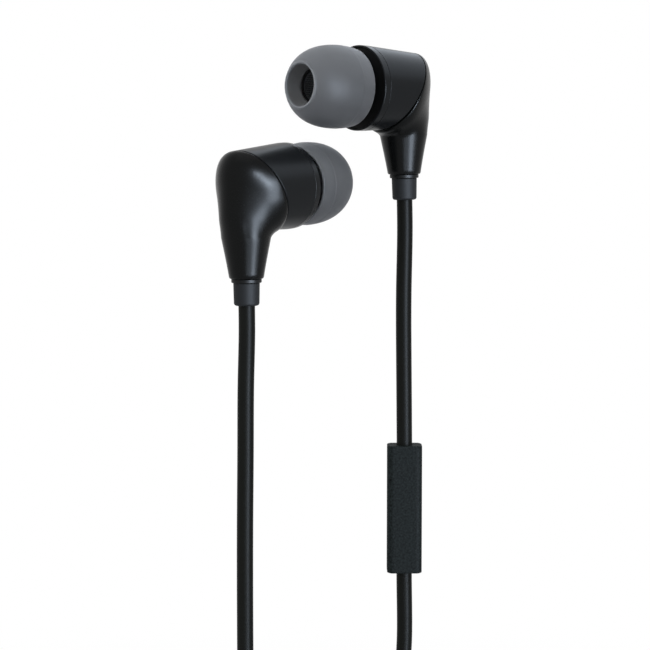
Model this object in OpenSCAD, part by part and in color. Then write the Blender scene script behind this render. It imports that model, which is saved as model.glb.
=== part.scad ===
// Wired earphones: two in-ear units, an inline remote with a microphone,
// a Y splitter, a folded hank of cord and a four-pole 3.5 mm plug.
// Millimetres, +Z up. The origin lies on the axis of the right ear tip.

/* [Placement] */
// Where the right unit's barrel axis meets its stem axis
right_at = [11.15, 9.7, -0.25]; // [-40:0.05:40]
// Where the left unit's barrel axis meets its stem axis
left_at = [-12.05, -9.1, -15]; // [-40:0.05:40]
// Turn of the right unit about its stem, from +X
right_turn = 221; // [200:0.5:240]
// Turn of the left unit about its stem, from +X
left_turn = 52; // [35:0.5:70]
// Lift of the right unit's ear tip, as its stem hangs off plumb
right_pitch = -1.5; // [-4:0.1:4]
// Lift of the left unit's ear tip, as its stem hangs off plumb
left_pitch = 0.5; // [-4:0.1:4]
// Rise of the barrel axis towards the ear tip
barrel_tilt = 2.6; // [0:0.1:5]
// Centre of the remote
remote_at = [11.6, 9.9, -64.5]; // [-80:0.1:40]

/* [Barrel] */
// Barrel front end, from the stem axis
barrel_front = 8.3; // [7.5:0.1:10]
// Barrel radius at its front end
barrel_front_r = 6.35; // [6.1:0.05:7]
// Barrel radius at its rear end
barrel_rear_r = 5.7; // [5.65:0.05:6]
// Rear end of the barrel's taper, behind the stem axis
barrel_back = 2.3; // [2:0.1:2.6]
// Barrel wall at its thinnest
barrel_wall = 0.4; // [0.35:0.05:0.5]

/* [Seam between barrel and back shell] */
// Where the seam crosses the barrel axis
seam_at = 1.45; // [1.2:0.05:1.7]
// Lean of the seam plane
seam_lean = 29.3; // [27:0.1:32]
// Open gap in the seam
seam_gap = 0.14; // [0.08:0.02:0.3]
// Reach of the shell's lip into the barrel
lip_depth = 1.0; // [0.6:0.1:1.4]
// Wall of the shell's lip
lip_wall = 0.4; // [0.3:0.05:0.6]

/* [Bezel] */
// Length of the bezel ring
bezel_len = 1.1; // [0.8:0.1:1.4]
// Wall of the bezel ring
bezel_wall = 0.3; // [0.25:0.05:0.5]
// Radius of its rounded front edge
bezel_round = 0.12; // [0.06:0.02:0.24]

/* [Front cover and nozzle] */
// Depth of the cover's face behind the bezel edge
cover_recess = 0.2; // [0.1:0.05:0.5]
// Thickness of the cover
cover_thick = 1.3; // [1.2:0.1:1.5]
// Outer radius of the nozzle tube
nozzle_r = 2.7; // [2.5:0.05:2.8]
// Bore radius of the nozzle tube
nozzle_bore_r = 1.95; // [1.6:0.05:2.05]
// Length of the nozzle in front of the cover's face
nozzle_len = 8.8; // [8:0.1:10]
// Height of the retaining ridge on the nozzle
ridge_h = 0.18; // [0.1:0.02:0.3]
// Length of the retaining ridge
ridge_len = 0.9; // [0.6:0.1:1.4]
// Distance of the retaining ridge from the nozzle's end
ridge_inset = 0.6; // [0.4:0.05:0.8]
// Fillet at the foot of the nozzle
nozzle_foot = 0.4; // [0.2:0.05:0.6]
// Thickness of the nozzle mesh
mesh_thick = 0.2; // [0.15:0.05:0.4]
// Step in the nozzle wall that seats the mesh
mesh_seat = 0.3; // [0.2:0.05:0.4]

/* [Ear tip] */
// Length of the ear tip
tip_len = 9.7; // [9:0.1:10.2]
// Radius of the tip at its widest
tip_r = 6.15; // [5.8:0.05:6.6]
// Length of the hem behind the widest place
hem_len = 2.5; // [1.5:0.1:3]
// Radius of the hem at its rear end
hem_r = 5.85; // [5.6:0.05:6]
// Outer radius at the front lip
tip_front_r = 3.5; // [3.4:0.05:4]
// Fullness of the dome: 2 is round, more is squarer
tip_power = 2.5; // [2:0.1:3]
// Skirt wall
tip_wall = 0.6; // [0.4:0.05:0.9]
// Radius of the mouth
mouth_r = 3.1; // [2.9:0.05:3.2]
// Radius of the mouth at the nozzle
mouth_foot_r = 2.5; // [2.3:0.05:2.8]
// Depth of the mouth in front of the nozzle
mouth_depth = 2.55; // [1.5:0.05:3]
// Wall of the inner sleeve
sleeve_wall = 0.7; // [0.5:0.05:0.9]
// Length of the inner sleeve over the nozzle
sleeve_len = 5.4; // [4:0.1:6]
// Travel of the ear tip as it is pulled off
tip_pull = 6.5; // [6:0.5:7]

/* [Driver] */
// Length of the driver frame
frame_len = 2.9; // [2.4:0.1:3.2]
// Wall of the driver frame
frame_wall = 0.45; // [0.35:0.05:0.6]
// Radius of each vent in the driver frame
vent_r = 0.45; // [0.3:0.05:0.5]
// Rear plate of the driver frame
frame_plate = 0.5; // [0.4:0.05:0.7]
// Radius of the yoke cup
yoke_r = 3.3; // [3.1:0.05:3.6]
// Wall of the yoke cup
yoke_wall = 0.45; // [0.35:0.05:0.55]
// Depth of the yoke cup
yoke_len = 2.8; // [2.4:0.1:3]
// Floor of the yoke cup
yoke_floor = 0.6; // [0.5:0.05:0.8]
// Radius of the magnet
magnet_r = 2.3; // [2.1:0.05:2.35]
// Height of the magnet
magnet_len = 1.5; // [1.3:0.05:1.5]
// Radius of the top plate
top_plate_r = 2.4; // [2.35:0.01:2.42]
// Thickness of the top plate
top_plate_len = 0.6; // [0.4:0.05:0.7]
// Inner radius of the voice coil
coil_r = 2.53; // [2.52:0.01:2.55]
// Winding thickness of the voice coil
coil_wall = 0.19; // [0.12:0.01:0.2]
// Height of the voice coil
coil_len = 1.9; // [1.4:0.05:2]
// Radius of the diaphragm's centre dome
dome_r = 2.72; // [2.6:0.02:2.8]
// Rise of the centre dome and of the surround
dome_h = 0.45; // [0.3:0.05:0.5]
// Thickness of the diaphragm
film = 0.08; // [0.06:0.01:0.12]
// Travel of the diaphragm each way
cone_travel = 0.15; // [0.1:0.01:0.18]
// Gap left at each end of that travel
cone_gap = 0.1; // [0.05:0.01:0.15]
// Radius of the terminal board
board_r = 2.6; // [2.2:0.1:3]
// Thickness of the terminal board
board_thick = 0.5; // [0.4:0.05:0.7]

/* [Back shell and stem] */
// Radius of the stem behind the barrel
stem_r = 4.2; // [4:0.05:4.4]
// Radius of the stem at its lower end
stem_end_r = 2.5; // [2.5:0.05:2.9]
// Lower end of the stem, below the barrel axis
stem_drop = 12.7; // [12:0.1:14]
// Height at which the stem starts to taper
taper_from = -4.0; // [-4.5:0.1:-3]
// Height of the shell's top, above the barrel axis
shell_top = 5.6; // [5.2:0.05:5.9]
// Height at which the shell's top starts to round
crown_from = 1.6; // [1:0.1:2.4]
// Height where the barrel's underside meets the stem
blend_to = -8.6; // [-10:0.1:-8]
// Shell wall
shell_wall = 0.7; // [0.5:0.05:0.9]

/* [Collar and boot] */
// Radius of the collar under the stem
collar_r = 2.2; // [2:0.05:2.4]
// Height of the collar
collar_h = 0.6; // [0.4:0.05:0.8]
// Radius of the boot at its top
boot_r = 1.9; // [1.7:0.05:1.95]
// Radius of the boot at its end
boot_end_r = 1.85; // [1.6:0.05:1.85]
// Length of the boot below the collar
boot_len = 3.3; // [2.5:0.05:4]
// Radius of the boot's head inside the stem
boot_head_r = 1.75; // [1.7:0.05:1.8]
// Height of the boot's head
boot_head_h = 0.8; // [0.5:0.1:1.2]
// Thickness of the stem's floor
stem_floor = 0.8; // [0.6:0.1:1]
// Height of the crimp ring on the cord
crimp_h = 1.6; // [1:0.1:2]
// Wall of the crimp ring
crimp_wall = 0.3; // [0.2:0.05:0.4]

/* [Cord] */
// Cord radius
cord_r = 1.2; // [1:0.05:1.25]
// Clearance round a cord in its hole
cord_fit = 0.05; // [0.03:0.01:0.1]
// Radius of an inner lead
lead_r = 0.25; // [0.15:0.05:0.3]
// Half spacing of the two leads
lead_apart = 0.8; // [0.6:0.05:1]
// Height at which the leads meet the terminal board
lead_top = -1.4; // [-2:0.1:-1]

/* [Remote] */
// Width of the remote
remote_w = 5.4; // [5.2:0.1:6]
// Depth of the remote
remote_d = 4.2; // [4.2:0.1:5]
// Height of the remote
remote_h = 20.2; // [18:0.1:24]
// Radius of its long edges
remote_round = 0.95; // [0.5:0.05:1.2]
// Wall of the remote's covers
remote_wall = 0.7; // [0.6:0.05:0.8]
// Width of the button
button_w = 2.6; // [2:0.1:2.8]
// Height of the button
button_h = 7.5; // [6:0.1:8.5]
// Stand of the button above the cover
button_out = 0.35; // [0.32:0.01:0.6]
// Travel of the button
button_travel = 0.25; // [0.15:0.01:0.3]
// Thickness of the circuit board
pcb_thick = 0.5; // [0.4:0.05:0.6]
// Length of the circuit board
pcb_len = 13.2; // [12:0.1:13.6]
// Radius of the microphone's sound hole
mic_hole_r = 0.45; // [0.3:0.05:0.6]

/* [Hank] */
// Straight run between the end loops
hank_run = 40; // [36:1:48]
// Radius of an inner end loop
hank_loop_r = 6.7; // [6.5:0.1:7.5]
// Half spacing of the inner runs at the waist
hank_waist_r = 1.3; // [1.25:0.05:2]
// Step from the inner to the outer layer
layer_step = 2.55; // [2.5:0.05:2.8]
// Turns side by side
hank_columns = 6; // [5:1:7]
// Step from turn to turn
column_step = 2.45; // [2.45:0.05:2.6]
// Height of the hank's centre
hank_z = -124; // [-130:1:-124]

/* [Splitter and tie] */
// Width of the splitter
splitter_w = 6.6; // [6:0.1:7.2]
// Depth of the splitter
splitter_d = 4.2; // [3.8:0.1:4.6]
// Length of the splitter
splitter_len = 16; // [14:0.5:18]
// Radius of the splitter's lower end
splitter_end_r = 1.8; // [1.7:0.05:2]
// Height of the tie
tie_h = 5; // [3:0.5:6]
// Thickness of the tie
tie_wall = 0.9; // [0.6:0.1:1.2]

/* [Plug] */
// Radius of the plug's grip
grip_r = 3; // [2.8:0.1:3.6]
// Length of the plug's grip
grip_len = 16; // [13:0.5:20]
// Wall of the plug's grip
grip_wall = 0.7; // [0.5:0.1:0.8]
// Length of the plug's strain relief
relief_len = 8; // [6:0.5:12]
// Jack radius
jack_r = 1.75; // [1.75:0.01:1.75]
// Length of the sleeve contact
jack_sleeve_len = 4.5; // [4:0.1:5]
// Length of each ring contact
jack_ring_len = 1.9; // [1.6:0.1:2.2]
// Length of each insulating ring
jack_gap = 0.6; // [0.4:0.05:0.8]
// Length of the tip contact
jack_tip_len = 3.9; // [3.5:0.1:4.2]
// Radius of the jack's insulating core
jack_core_r = 1.2; // [1:0.05:1.3]

/* [Clearances] */
// Gap between fixed pieces
fit = 0.05; // [0.03:0.01:0.08]
// Gap round pieces that slide
slide_fit = 0.08; // [0.06:0.01:0.12]

/* [Hidden] */
$fn = 96;
FAR = 60; // side of a cutting block, past every piece that it cuts

// Stations along the barrel axis, from the stem axis
bezel_front = barrel_front + bezel_len;
cover_face = bezel_front - cover_recess;
cover_back = cover_face - cover_thick;
nozzle_end = cover_face + nozzle_len;
bore_r = barrel_rear_r - barrel_wall;
body_rear = -barrel_rear_r - barrel_back;
sleeve_bore_r = nozzle_r + ridge_h + slide_fit;
tip_front = nozzle_end + fit + mouth_depth;
tip_rear = tip_front - tip_len;
frame_front = cover_back - fit;
frame_rear = frame_front - frame_len;
yoke_front = cover_back - dome_h - film - 2 * (cone_travel + cone_gap);
yoke_rear = yoke_front - yoke_len;
magnet_rear = yoke_rear + yoke_floor;
top_plate_rear = magnet_rear + magnet_len;
coil_front = yoke_front + cone_travel + cone_gap;
driver_r = bore_r - fit;
board_front = yoke_rear - fit;

// Heights on the stem
collar_top = -stem_drop;
collar_base = collar_top - collar_h;
boot_end = collar_base - boot_len;
boot_head_base = collar_top + stem_floor + fit;
crimp_base = boot_head_base + boot_head_h + fit;
cord_hole_r = cord_r + cord_fit;

// Remote
remote_top = remote_at.z + remote_h / 2;
remote_base = remote_at.z - remote_h / 2;
cord_in_remote = 1.9;
pcb_y = -remote_d / 2 + remote_wall + 0.5;
switch_d = 1.1;
button_foot = pcb_y + pcb_thick + switch_d + button_travel + 0.1;
flange_h = remote_d / 2 - remote_wall - fit - button_foot;

// Hank, splitter and tie
hank_d = hank_columns * column_step;
hank_out_r = hank_loop_r + layer_step + cord_r;
splitter_y = -hank_d / 2 - fit - splitter_d / 2;
main_x = 0;
main_y = hank_d / 2 + cord_fit + cord_r;

// Plug, from the top down
relief_top = -160;
grip_top = relief_top - relief_len;
grip_base = grip_top - grip_len;
grip_floor = 0.8;

// Point on a unit's stem axis, at a height in the unit's own frame
function at_of(side) = side == "right" ? right_at : left_at;
function turn_of(side) = side == "right" ? right_turn : left_turn;
function pitch_of(side) = side == "right" ? right_pitch : left_pitch;
function on_stem(side, h) = at_of(side) + h * [-sin(pitch_of(side)) * cos(turn_of(side)),
    -sin(pitch_of(side)) * sin(turn_of(side)), cos(pitch_of(side))];

// Cord routes, along each centre line
left_route = [on_stem("left", crimp_base), on_stem("left", boot_end - 0.6), [-12.1, -9, -42],
    [-12.2, -9, -52], [-12.3, -9, -62], [-12.35, -9, -72], [-12.35, -9, -80], [-12.2, -9, -87],
    [-11.8, -8.8, -91], [-10.9, -8, -95], [-9.6, -7, -99], [-8.8, -6.3, -102]];
right_upper_route = [on_stem("right", crimp_base), on_stem("right", boot_end - 0.6),
    [11.42, 9.93, -30], [11.46, 9.9, -42], [remote_at.x, remote_at.y, remote_top + 2],
    [remote_at.x, remote_at.y, remote_top - cord_in_remote]];
right_lower_route = [[remote_at.x, remote_at.y, remote_base + cord_in_remote],
    [11.62, 9.9, -76], [11.7, 9.9, -81], [11.6, 9.8, -87], [11.2, 9.4, -91],
    [10.4, 8.4, -95], [9.2, 7, -99], [8.7, 6.3, -102]];
main_route = [[-5, main_y, -138], [-4.4, main_y, -142], [-3, main_y, -146],
    [-1.3, main_y, -150], [-0.3, main_y, -154], [main_x, main_y, -158],
    [main_x, main_y, relief_top - 4]];

// Unit tangent at point i of a route, and two unit vectors across it
function unit(v) = v / norm(v);
function tangent(p, i) = unit(p[min(i + 1, len(p) - 1)] - p[max(i - 1, 0)]);
function side_of(t) = unit(cross(t, [0, 1, 0]));
function ring_point(p, i, a, r) = let (t = tangent(p, i), u = side_of(t))
    p[i] + r * (cos(a) * u + sin(a) * cross(t, u));

// Half width of the inner layer at height z in the hank: waist to end loop
function run_x(z) = hank_waist_r
    + (hank_loop_r - hank_waist_r) * (0.5 - 0.5 * cos(360 * z / hank_run));
// Stem radius from its lower end to its crown, thinned by a wall
function stem_at(z, wall = 0) = z > crown_from
    ? (stem_r - wall) * sqrt(max(0.001, 1 - pow((z - crown_from) / (shell_top - wall - crown_from), 2.6)))
    : z > taper_from ? stem_r - wall
    : stem_end_r - wall
        + (stem_r - stem_end_r) * pow(max(0, z + stem_drop) / (taper_from + stem_drop), 1.1);
// Barrel radius at station s
function barrel_at(s) = barrel_rear_r
    + (barrel_front_r - barrel_rear_r) * (s + barrel_back) / (barrel_front + barrel_back);

// ---- Placing and shaping helpers ----

// Puts a unit, drawn with its barrel along +X and its stem down, in place
module on_side(side) translate(at_of(side))
    rotate([0, 0, turn_of(side)]) rotate([0, -pitch_of(side), 0]) children();

// Turns +Z into the barrel axis
module along_barrel() rotate([0, 90 - barrel_tilt, 0]) children();

// Ring or disc along the barrel axis between two stations
module ring(from, to, r, bore = 0)
    along_barrel() translate([0, 0, from]) difference() {
        cylinder(r = r, h = to - from);
        if (bore > 0) translate([0, 0, -1]) cylinder(r = bore, h = to - from + 2);
    }

// Block in front of the seam plane, moved along its normal
module ahead_of_seam(move = 0)
    translate([seam_at, 0, 0]) rotate([0, -seam_lean, 0])
        translate([move, -FAR / 2, -FAR / 2]) cube(FAR);

// Round tube of 8 sides along a route
module cord_tube(p, r = cord_r, sides = 8) {
    points = [for (i = [0:len(p) - 1]) for (k = [0:sides - 1])
        ring_point(p, i, 360 * k / sides, r)];
    walls = [for (i = [0:len(p) - 2]) for (k = [0:sides - 1]) let (n = (k + 1) % sides)
        [i * sides + k, i * sides + n, (i + 1) * sides + n, (i + 1) * sides + k]];
    first = [for (k = [sides - 1:-1:0]) k];
    last = [for (k = [0:sides - 1]) (len(p) - 1) * sides + k];
    polyhedron(points, concat(walls, [first, last]));
}

// ---- Sub-parts of a unit, each drawn in the unit's own frame ----

module ear_tip() {
    lip = (tip_front_r - mouth_r) / 2;
    hem_front = tip_rear + hem_len;
    dome = tip_front - lip - hem_front;
    reach = dome / pow(1 - pow(tip_front_r / tip_r, tip_power), 1 / tip_power);
    steps = 14;
    function dome_at(s) = tip_r * pow(1 - pow(s / reach, tip_power), 1 / tip_power);
    function hem_at(x) = tip_r - (tip_r - hem_r) * pow(1 - x, 2);
    skirt_end = nozzle_end - tip_wall;
    edge = tip_wall / 3;
    hem = [for (x = [0:0.25:0.75]) [hem_at(x), tip_rear + edge + (hem_len - edge) * x]];
    outer = [for (i = [0:steps]) [dome_at(dome * i / steps), hem_front + dome * i / steps]];
    rounded = [for (a = [30:30:180]) [tip_front_r - lip + lip * cos(a), tip_front - lip + lip * sin(a)]];
    inner = [for (i = [9:-1:0]) let (s = (skirt_end - hem_front) * i / 9)
        [dome_at(s) - tip_wall, hem_front + s]];
    color([0.38, 0.40, 0.42]) along_barrel() rotate_extrude() polygon(concat(
        [[hem_r - tip_wall / 2, tip_rear]], hem, outer, rounded,
        [[mouth_foot_r, nozzle_end + fit], [sleeve_bore_r, nozzle_end + fit],
         [sleeve_bore_r, nozzle_end - sleeve_len],
         [sleeve_bore_r + sleeve_wall, nozzle_end - sleeve_len],
         [sleeve_bore_r + sleeve_wall, skirt_end - 2 * edge]],
        inner, [[hem_r - tip_wall + edge / 2, tip_rear + edge]]));
}

module front_cover() {
    ridge = nozzle_end - ridge_inset;
    rim_r = barrel_front_r - bezel_wall - fit;
    color([0.07, 0.07, 0.08]) along_barrel() rotate_extrude() polygon([
        [nozzle_bore_r, cover_back], [bore_r - fit, cover_back],
        [bore_r - fit, barrel_front + fit], [rim_r, barrel_front + fit], [rim_r, cover_face],
        [nozzle_r + nozzle_foot, cover_face], [nozzle_r, cover_face + nozzle_foot],
        [nozzle_r, ridge - ridge_len], [nozzle_r + ridge_h, ridge - ridge_len],
        [nozzle_r + ridge_h, ridge - ridge_h], [nozzle_r, ridge], [nozzle_r, nozzle_end],
        [nozzle_bore_r + mesh_seat, nozzle_end],
        [nozzle_bore_r + mesh_seat, nozzle_end - mesh_thick - fit],
        [nozzle_bore_r, nozzle_end - mesh_thick - fit]]);
}

module nozzle_mesh() color([0.12, 0.13, 0.13])
    ring(nozzle_end - mesh_thick - fit, nozzle_end - fit, nozzle_bore_r + mesh_seat - fit);

module bezel() color([0.30, 0.31, 0.33]) along_barrel() rotate_extrude() polygon(concat(
    [[barrel_front_r - bezel_wall, bezel_front], [barrel_front_r - bezel_wall, barrel_front],
     [barrel_front_r, barrel_front]],
    [for (a = [0:15:90]) [barrel_front_r - bezel_round + bezel_round * cos(a),
        bezel_front - bezel_round + bezel_round * sin(a)]]));

module barrel_body(grow = 0) along_barrel() translate([0, 0, body_rear])
    cylinder(r1 = barrel_at(body_rear) + grow, r2 = barrel_front_r + grow, h = barrel_front - body_rear);

module barrel() color([0.17, 0.18, 0.20]) intersection() {
    difference() {
        barrel_body();
        ring(body_rear - 1, barrel_front + 1, bore_r);
    }
    ahead_of_seam(seam_gap);
}

module driver_frame() {
    vents = 6;
    vent_at = (yoke_r + driver_r) / 2;
    color([0.62, 0.60, 0.55]) difference() {
        ring(frame_rear, frame_front, driver_r, yoke_r + fit);
        ring(frame_rear + frame_plate, frame_front + 1, driver_r - frame_wall);
        along_barrel() for (k = [0:vents - 1]) rotate([0, 0, 360 * (k + 0.5) / vents])
            translate([vent_at, 0, frame_rear - 1]) cylinder(r = vent_r, h = frame_plate + 2);
    }
}

module yoke() color([0.72, 0.72, 0.74]) difference() {
    ring(yoke_rear, yoke_rear + yoke_len, yoke_r);
    ring(yoke_rear + yoke_floor, yoke_rear + yoke_len + 1, yoke_r - yoke_wall);
}

module magnet() color([0.55, 0.55, 0.57]) ring(magnet_rear, magnet_rear + magnet_len, magnet_r);

module top_plate() color([0.72, 0.72, 0.74])
    ring(top_plate_rear, top_plate_rear + top_plate_len, top_plate_r);

module voice_coil() color([0.72, 0.42, 0.20])
    ring(coil_front - coil_len, coil_front, coil_r + coil_wall, coil_r);

// Film with a centre dome and a rolled surround
module diaphragm() {
    rim_r = driver_r - frame_wall - 0.12;
    steps = 10;
    dome = [for (i = [0:steps]) let (x = i / steps) [dome_r * x, dome_h * (1 - x * x)]];
    roll = [for (i = [1:steps]) let (x = i / steps)
        [dome_r + (rim_r - dome_r) * x, dome_h * sin(180 * x)]];
    face = concat(dome, roll);
    color([0.80, 0.78, 0.70]) along_barrel() translate([0, 0, coil_front]) rotate_extrude()
        polygon(concat(face, [for (i = [len(face) - 1:-1:0]) face[i] + [0, film]]));
}

module terminal_board() color([0.10, 0.36, 0.20]) difference() {
    ring(board_front - board_thick, board_front, board_r);
    along_barrel() for (y = [-1, 1])
        translate([-lead_top, y * lead_apart, board_front - board_thick - 1])
            cylinder(r = lead_r + fit, h = board_thick + 2);
}

// Two leads, from the end of the cord up to the terminal board
module lead_wires() {
    foot_z = crimp_base + crimp_h + fit;
    bend_z = lead_top - 1.8;
    reach = board_front - board_thick - lead_r - 2 * fit;
    color([0.75, 0.18, 0.12]) for (y = [-lead_apart, lead_apart]) {
        translate([0, y, foot_z]) cylinder(r = lead_r, h = bend_z - foot_z, $fn = 24);
        hull() for (end = [[0, y, bend_z], [reach, y, lead_top]])
            translate(end) sphere(r = lead_r, $fn = 16);
    }
}

// Column of the stem with its rounded crown, thinned by a wall
module stem_column(low, wall = 0) {
    steps = 12;
    levels = [for (i = [0:steps])
        low + (shell_top - wall - low) * (1 - pow(1 - i / steps, 1.6))];
    for (i = [1:steps]) hull() for (z = [levels[i - 1], levels[i]])
        translate([0, 0, z]) cylinder(r = stem_at(z, wall), h = 0.01, $fn = 48);
}

// Slice of the barrel that straddles the seam, thinned by a wall
module seam_slice(wall = 0) intersection() {
    along_barrel() translate([0, 0, body_rear]) cylinder(r1 = barrel_at(body_rear) - wall,
        r2 = barrel_front_r - wall, h = barrel_front - body_rear, $fn = 72);
    difference() {
        ahead_of_seam(-0.3);
        ahead_of_seam(0.3);
    }
}

// Lip that locates the shell in the barrel's bore
module shell_lip() difference() {
    intersection() {
        ring(body_rear, frame_rear - fit, bore_r - fit, bore_r - fit - lip_wall, $fn = 72);
        ahead_of_seam(-0.2);
    }
    ahead_of_seam(lip_depth);
}

module back_shell() color([0.04, 0.04, 0.05]) difference() {
    union() {
        difference() {
            union() {
                hull() {
                    stem_column(blend_to);
                    seam_slice();
                }
                stem_column(collar_top);
            }
            ahead_of_seam(0);
        }
        shell_lip();
    }
    hull() {
        stem_column(blend_to + shell_wall, shell_wall);
        seam_slice(barrel_wall + fit + lip_wall);
    }
    stem_column(collar_top + stem_floor, shell_wall);
    translate([0, 0, collar_top - 1]) cylinder(r = cord_hole_r + 0.25, h = 4, $fn = 48);
}

module collar() color([0.12, 0.12, 0.13]) difference() {
    translate([0, 0, collar_base]) cylinder(r = collar_r, h = collar_h);
    translate([0, 0, collar_base - 1]) cylinder(r = cord_hole_r + 0.25, h = collar_h + 2);
}

module boot() {
    neck_r = cord_hole_r + 0.25 - fit;
    end_round = 0.35;
    color([0.16, 0.17, 0.18]) rotate_extrude() polygon(concat(
        [[cord_hole_r, boot_end]],
        [for (a = [-90:30:0]) [boot_end_r - end_round + end_round * cos(a),
            boot_end + end_round + end_round * sin(a)]],
        [[boot_r, collar_base], [neck_r, collar_base],
         [neck_r, boot_head_base - fit], [neck_r, boot_head_base],
         [boot_head_r - 0.1, boot_head_base], [boot_head_r - 0.1, boot_head_base + boot_head_h],
         [cord_hole_r, boot_head_base + boot_head_h]]));
}

module cord_crimp() color([0.78, 0.76, 0.70]) difference() {
    translate([0, 0, crimp_base]) cylinder(r = cord_hole_r + crimp_wall, h = crimp_h);
    translate([0, 0, crimp_base - 1]) cylinder(r = cord_hole_r, h = crimp_h + 2);
}

// ---- Remote, drawn about its own centre, button towards +Y ----

module on_cord() translate(remote_at) children();

module rounded_rect(w, d, r) hull() for (x = [-1, 1]) for (y = [-1, 1])
    translate([x * (w / 2 - r), y * (d / 2 - r)]) circle(r = r, $fn = 32);

module remote_case() difference() {
    translate([0, 0, -remote_h / 2]) linear_extrude(remote_h)
        rounded_rect(remote_w, remote_d, remote_round);
    translate([-remote_w / 2 + remote_wall, -remote_d / 2 + remote_wall, -remote_h / 2 + 0.8])
        cube([remote_w - 2 * remote_wall, remote_d - 2 * remote_wall, remote_h - 1.6]);
    translate([0, 0, -remote_h / 2 - 1]) cylinder(r = cord_hole_r, h = remote_h + 2);
}

module half(sign) translate([-FAR / 2, sign > 0 ? 0 : -FAR, -FAR / 2]) cube(FAR);

module remote_front_cover() on_cord() color([0.14, 0.16, 0.17]) {
    intersection() {
        remote_case();
        half(-1);
    }
    for (z = [-1, 1]) translate([-1.5, -remote_d / 2 + remote_wall - 0.1, z * 4.6 - 0.5])
        cube([3, 0.6, 1]);
}

module remote_rear_cover() on_cord() color([0.14, 0.16, 0.17]) difference() {
    intersection() {
        remote_case();
        translate([0, fit / 2, 0]) half(1);
    }
    button_shape(slide_fit, 0, remote_d);
    translate([0, 0, -6.6]) rotate([-90, 0, 0]) cylinder(r = mic_hole_r, h = remote_d);
}

// Slot shape of the button, grown by a gap, from one depth to another
module button_shape(grow, from, to)
    translate([0, to, 0]) rotate([90, 0, 0]) linear_extrude(to - from)
        hull() for (z = [-1, 1]) translate([0, z * (button_h - button_w) / 2])
            circle(d = button_w + 2 * grow, $fn = 48);

module remote_button() on_cord() color([0.10, 0.11, 0.12]) {
    button_shape(0, button_foot + flange_h / 2, remote_d / 2 + button_out);
    button_shape(0.35, button_foot, button_foot + flange_h);
}

module remote_circuit_board() on_cord() color([0.08, 0.30, 0.18])
    translate([-1.8, pcb_y, -pcb_len / 2]) cube([3.6, pcb_thick, pcb_len]);

module remote_switch() on_cord() color([0.75, 0.75, 0.72]) {
    translate([-1.3, pcb_y + pcb_thick, -1.5]) cube([2.6, switch_d - 0.3, 3]);
    translate([0, pcb_y + pcb_thick + switch_d - 0.4, 0]) rotate([-90, 0, 0])
        cylinder(r = 0.7, h = 0.4);
}

module microphone_capsule() on_cord() color([0.80, 0.78, 0.68]) difference() {
    translate([-1.2, pcb_y + pcb_thick, -6.6]) translate([0, 0, -1]) cube([2.4, 1.6, 3]);
    translate([0, pcb_y + pcb_thick + 1.2, -6.6]) rotate([-90, 0, 0])
        cylinder(r = 0.3, h = 1);
}

module remote_cord_crimps() on_cord() color([0.78, 0.76, 0.70])
    for (z = [-1, 1]) translate([0, 0, z * (remote_h / 2 - 1.45) - 0.45]) difference() {
        cylinder(r = cord_hole_r + 0.1, h = 0.9);
        translate([0, 0, -1]) cylinder(r = cord_hole_r, h = 3);
    }

// ---- Cords, hank, splitter and tie ----

module left_cord() color([0.13, 0.13, 0.12]) cord_tube(left_route);
module right_upper_cord() color([0.13, 0.13, 0.12]) cord_tube(right_upper_route);
module right_lower_cord() color([0.13, 0.13, 0.12]) cord_tube(right_lower_route);
module main_cord() color([0.13, 0.13, 0.12]) cord_tube(main_route);

// Outline of the folded cord: two pinched sides and two round ends
module hank_outline() {
    half_run = hank_run / 2;
    side = [for (z = [-half_run:hank_run / 16:half_run]) [run_x(z) + layer_step + cord_r, z]];
    arc = [for (a = [10:10:170]) [hank_out_r * cos(a), half_run + hank_out_r * sin(a)]];
    half_loop = concat(side, arc);
    polygon(concat(half_loop, [for (p = half_loop) -p]));
}

module cord_hank() color([0.13, 0.13, 0.12]) translate([0, hank_d / 2, hank_z])
    rotate([90, 0, 0]) linear_extrude(hank_d) hank_outline();

module y_splitter() color([0.12, 0.12, 0.13]) translate([0, splitter_y, hank_z]) difference() {
    hull() {
        translate([0, 0, -1]) linear_extrude(splitter_len / 2 + 1)
            rounded_rect(splitter_w, splitter_d, splitter_d / 2 - 0.1);
        translate([0, 0, -splitter_len / 2]) cylinder(r = splitter_end_r, h = 1, $fn = 32);
    }
    for (x = [-1, 1]) translate([x * (cord_hole_r + 0.1), 0, splitter_len / 2 - 3])
        cylinder(r = cord_hole_r, h = 4);
    translate([0, 0, -splitter_len / 2 - 1]) cylinder(r = cord_hole_r, h = 4);
}

// Strap round the waist of the hank and the splitter that lies on it
module hank_tie() {
    waist = run_x(tie_h / 2) + layer_step + cord_r + fit;
    color([0.20, 0.21, 0.22]) translate([0, 0, hank_z - tie_h / 2]) linear_extrude(tie_h)
        difference() {
            tie_loop(waist, tie_wall);
            tie_loop(waist, 0);
        }
}

module tie_loop(half_w, grow) hull() {
    corner_r = grow + 0.1;
    for (x = [-1, 1]) for (y = [-1, 1])
        translate([x * (half_w - 0.1), y * (hank_d / 2 + fit - 0.1)]) circle(r = corner_r, $fn = 24);
    translate([0, splitter_y]) rounded_rect(splitter_w + 2 * (fit + grow),
        splitter_d + 2 * (fit + grow), splitter_d / 2 - 0.1 + grow);
}

// ---- Plug, axis straight down ----

module on_plug(z) translate([main_x, main_y, z]) children();

// Collar between two heights below the grip, with a bore
module jack_band(from, len, r = jack_r, bore = jack_core_r + fit)
    on_plug(grip_base - from - len) difference() {
        cylinder(r = r, h = len);
        translate([0, 0, -1]) cylinder(r = bore, h = len + 2);
    }

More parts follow.
